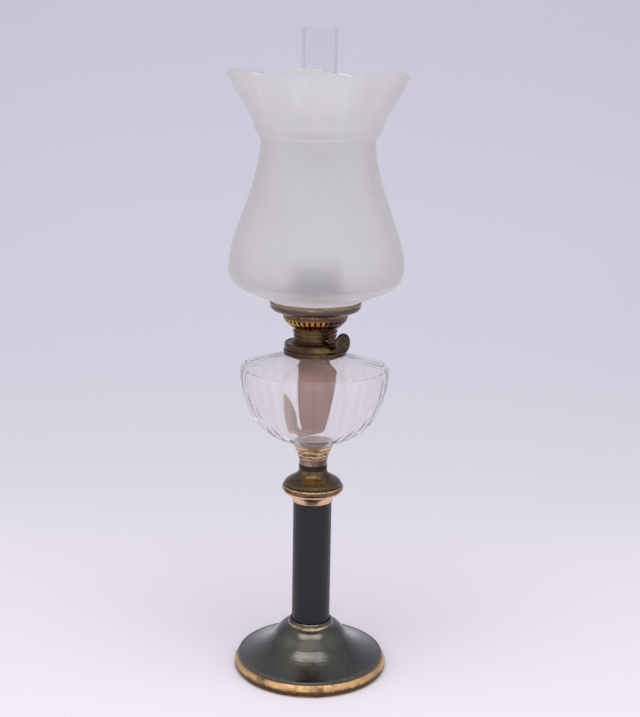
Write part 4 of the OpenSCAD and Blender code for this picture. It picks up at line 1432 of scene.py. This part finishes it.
@dataclass
class Chimney:
    """The clear chimney, in metres."""

    base_radius: float = 0.0265
    bulge_radius: float = 0.029
    tube_radius: float = 0.01825
    foot: float = 0.413
    length: float = 0.297
    wall: float = 0.0018
    smoke_rise: float = 0.034

    def face(self) -> Outline:
        """Draws the outer face from the foot to just under the lip.

        Returns:
            Its radii and heights.
        """
        z, top = self.foot, self.foot + self.length
        base, bulge, tube = self.base_radius, self.bulge_radius, self.tube_radius
        swell = curve([(base + 0.0001, z + 0.014), (bulge - 0.0006, z + 0.022), (bulge, z + 0.026),
                       (bulge, z + 0.033)], 12)
        neck = curve([(bulge - 0.0002, z + 0.037), (bulge - 0.0016, z + 0.054), (tube, z + 0.058),
                      (tube, z + 0.082)], 18)
        return [(base, z), (base, z + 0.012), *swell, *neck, (tube, z + 0.6 * self.length),
                (tube, top - 0.004), (tube, top - 0.0012), (tube, top - 0.0009)]

    def build(self) -> None:
        """Makes the blown glass and stands it in for the frame's chimney."""
        face = self.face()
        top, half = self.foot + self.length, 0.5 * self.wall
        middle = self.tube_radius - half
        lip = [(middle + half * math.cos(a), top - half * (1.0 - math.sin(a)))
               for a in (math.radians(d) for d in range(15, 180, 15))]
        bm = turn(face + lip + beside(face, self.wall)[::-1], 128, closed=True)
        glass = ClearGlass("chimney_glass", (0.975, 0.97, 0.965), (0.40, 0.39, 0.41), hazy=0.02, ior=1.12,
                           smoke=(0.70, 0.66, 0.655), smoke_level=self.foot + self.smoke_rise,
                           smoke_reach=0.019)
        piece("chimney_clear", bm, Body.CHIMNEY, glass, ("chimney",), 50.0)


@dataclass
class Shade:
    """The frosted shade with its waved mouth, in metres."""

    foot: float = 0.414
    seat: float = 0.0013
    lip: float = 0.008
    fitter_radius: float = 0.0465
    height: float = 0.2475
    bulb_radius: float = 0.0943
    bulb_level: float = 0.046
    waist_radius: float = 0.0606
    waist_level: float = 0.181
    mouth_radius: float = 0.096
    wall: float = 0.0026
    wave_count: int = 6
    wave_height: float = 0.0074
    wave_out: float = 0.004
    wave_turn: float = 23.0
    crest_flatness: float = 0.16
    frost_low: float = 0.004
    frost_high: float = 0.033
    frost_grades: int = 9
    dense: float = 0.26
    steps: int = 192

    def face(self) -> Outline:
        """Draws the outer face from the fitter to the mouth.

        Returns:
            Its radii, and its heights over the shade's own foot.
        """
        f, b, w, m = self.fitter_radius, self.bulb_radius, self.waist_radius, self.mouth_radius
        lip, bulb_z, waist_z = self.lip, self.bulb_level, self.waist_level
        flare = self.height - waist_z
        bulb = curve([(f + 0.0006, lip + 0.0006), (f + 0.0155, lip + 0.0115), (b, bulb_z - 0.026),
                      (b, bulb_z)], 24)
        body = curve([(b - 0.0001, bulb_z + 0.005), (b, bulb_z + 0.034), (w + 0.004, waist_z - 0.056),
                      (w, waist_z - 0.0015)], 28)
        top = through([(w + 0.0008, waist_z + 0.0022), (w + 0.0058, waist_z + 0.0095),
                       (w + 0.0082, waist_z + 0.0175), (w + 0.0136, waist_z + 0.029),
                       (w + 0.65 * (m - w), waist_z + 0.67 * flare), (m, self.height)], 7)
        return [(f, self.seat), (f, lip - 0.001), *bulb, *body, *top]

    def wave(self, radius: float, angle: float, height: float) -> tuple[float, float]:
        """Finds how far the crimped mouth moves a point.

        Args:
            radius: the point's distance from the axis, which makes no difference.
            angle: its angle.
            height: its height.

        Returns:
            The moves out and up.
        """
        share = max(0.0, (height - self.foot - self.waist_level) / (self.height - self.waist_level)) ** 2
        phase = self.wave_count * (angle - math.radians(self.wave_turn))
        swing = math.cos(phase) - self.crest_flatness * math.cos(2.0 * phase)
        return 0.5 * self.wave_out * share * swing, 0.5 * self.wave_height * share * swing

    def build(self) -> None:
        """Makes the glass, frosted in grades, and stands it in for the frame's shade."""
        face = [(r, self.foot + z) for r, z in self.face()]
        inner = beside(face, self.wall)[::-1]
        rim = (0.5 * (face[-1][0] + inner[0][0]), 0.5 * (face[-1][1] + inner[0][1]) + 0.0006)
        bm = turn([*face, rim, *inner], self.steps, closed=True)
        shift(bm, self.wave)
        frost = FrostedGlass("shade_frost", pale=(0.875, 0.865, 0.875), cloudy=(0.85, 0.835, 0.835),
                             edge=(0.99, 0.94, 0.905), low_tone=(1.0, 0.975, 0.965), etch_and_highlight=(0.98, 0.97, 0.98),
                             transmission=0.72, roughness=0.2, ground=0.75, foot=self.foot + self.lip,
                             flare_foot=self.foot + self.waist_level)
        made = piece("shade_frosted", bm, Body.SHADE, frost, ("shade",), 60.0)
        last = self.frost_grades - 1
        for grade in range(1, self.frost_grades):
            clear = frost.transmission + (self.dense - frost.transmission) * grade / last
            denser = replace(frost, name=f"shade_frost_{grade}", transmission=clear)
            made.data.materials.append(denser.build())
        for polygon in made.data.polygons:
            polygon.material_index = self.grade(polygon.center.z - self.foot)

    def grade(self, level: float) -> int:
        """Returns the grade of frosting at a height over the shade's foot: denser towards the fitter."""
        share = (self.frost_high - level) / (self.frost_high - self.frost_low)
        return round(max(0.0, min(1.0, share)) * (self.frost_grades - 1))


@dataclass
class Lamp:
    """The whole lamp: its sub-assemblies in the order that they are made."""

    studio: Studio = field(default_factory=Studio)
    stand: Stand = field(default_factory=Stand)
    fount: Fount = field(default_factory=Fount)
    wick: Wick = field(default_factory=Wick)
    burner: Burner = field(default_factory=Burner)
    chimney: Chimney = field(default_factory=Chimney)
    shade: Shade = field(default_factory=Shade)

    def build(self) -> None:
        """Makes every sub-assembly."""
        for part in (self.studio, self.stand, self.fount, self.wick, self.burner, self.chimney, self.shade):
            part.build()
            LOG.info("built %s", type(part).__name__)


def main() -> None:
    """Builds the scene and reports each piece."""
    logging.basicConfig(level=logging.INFO)
    Lamp().build()


if __name__ == "__main__":
    main()
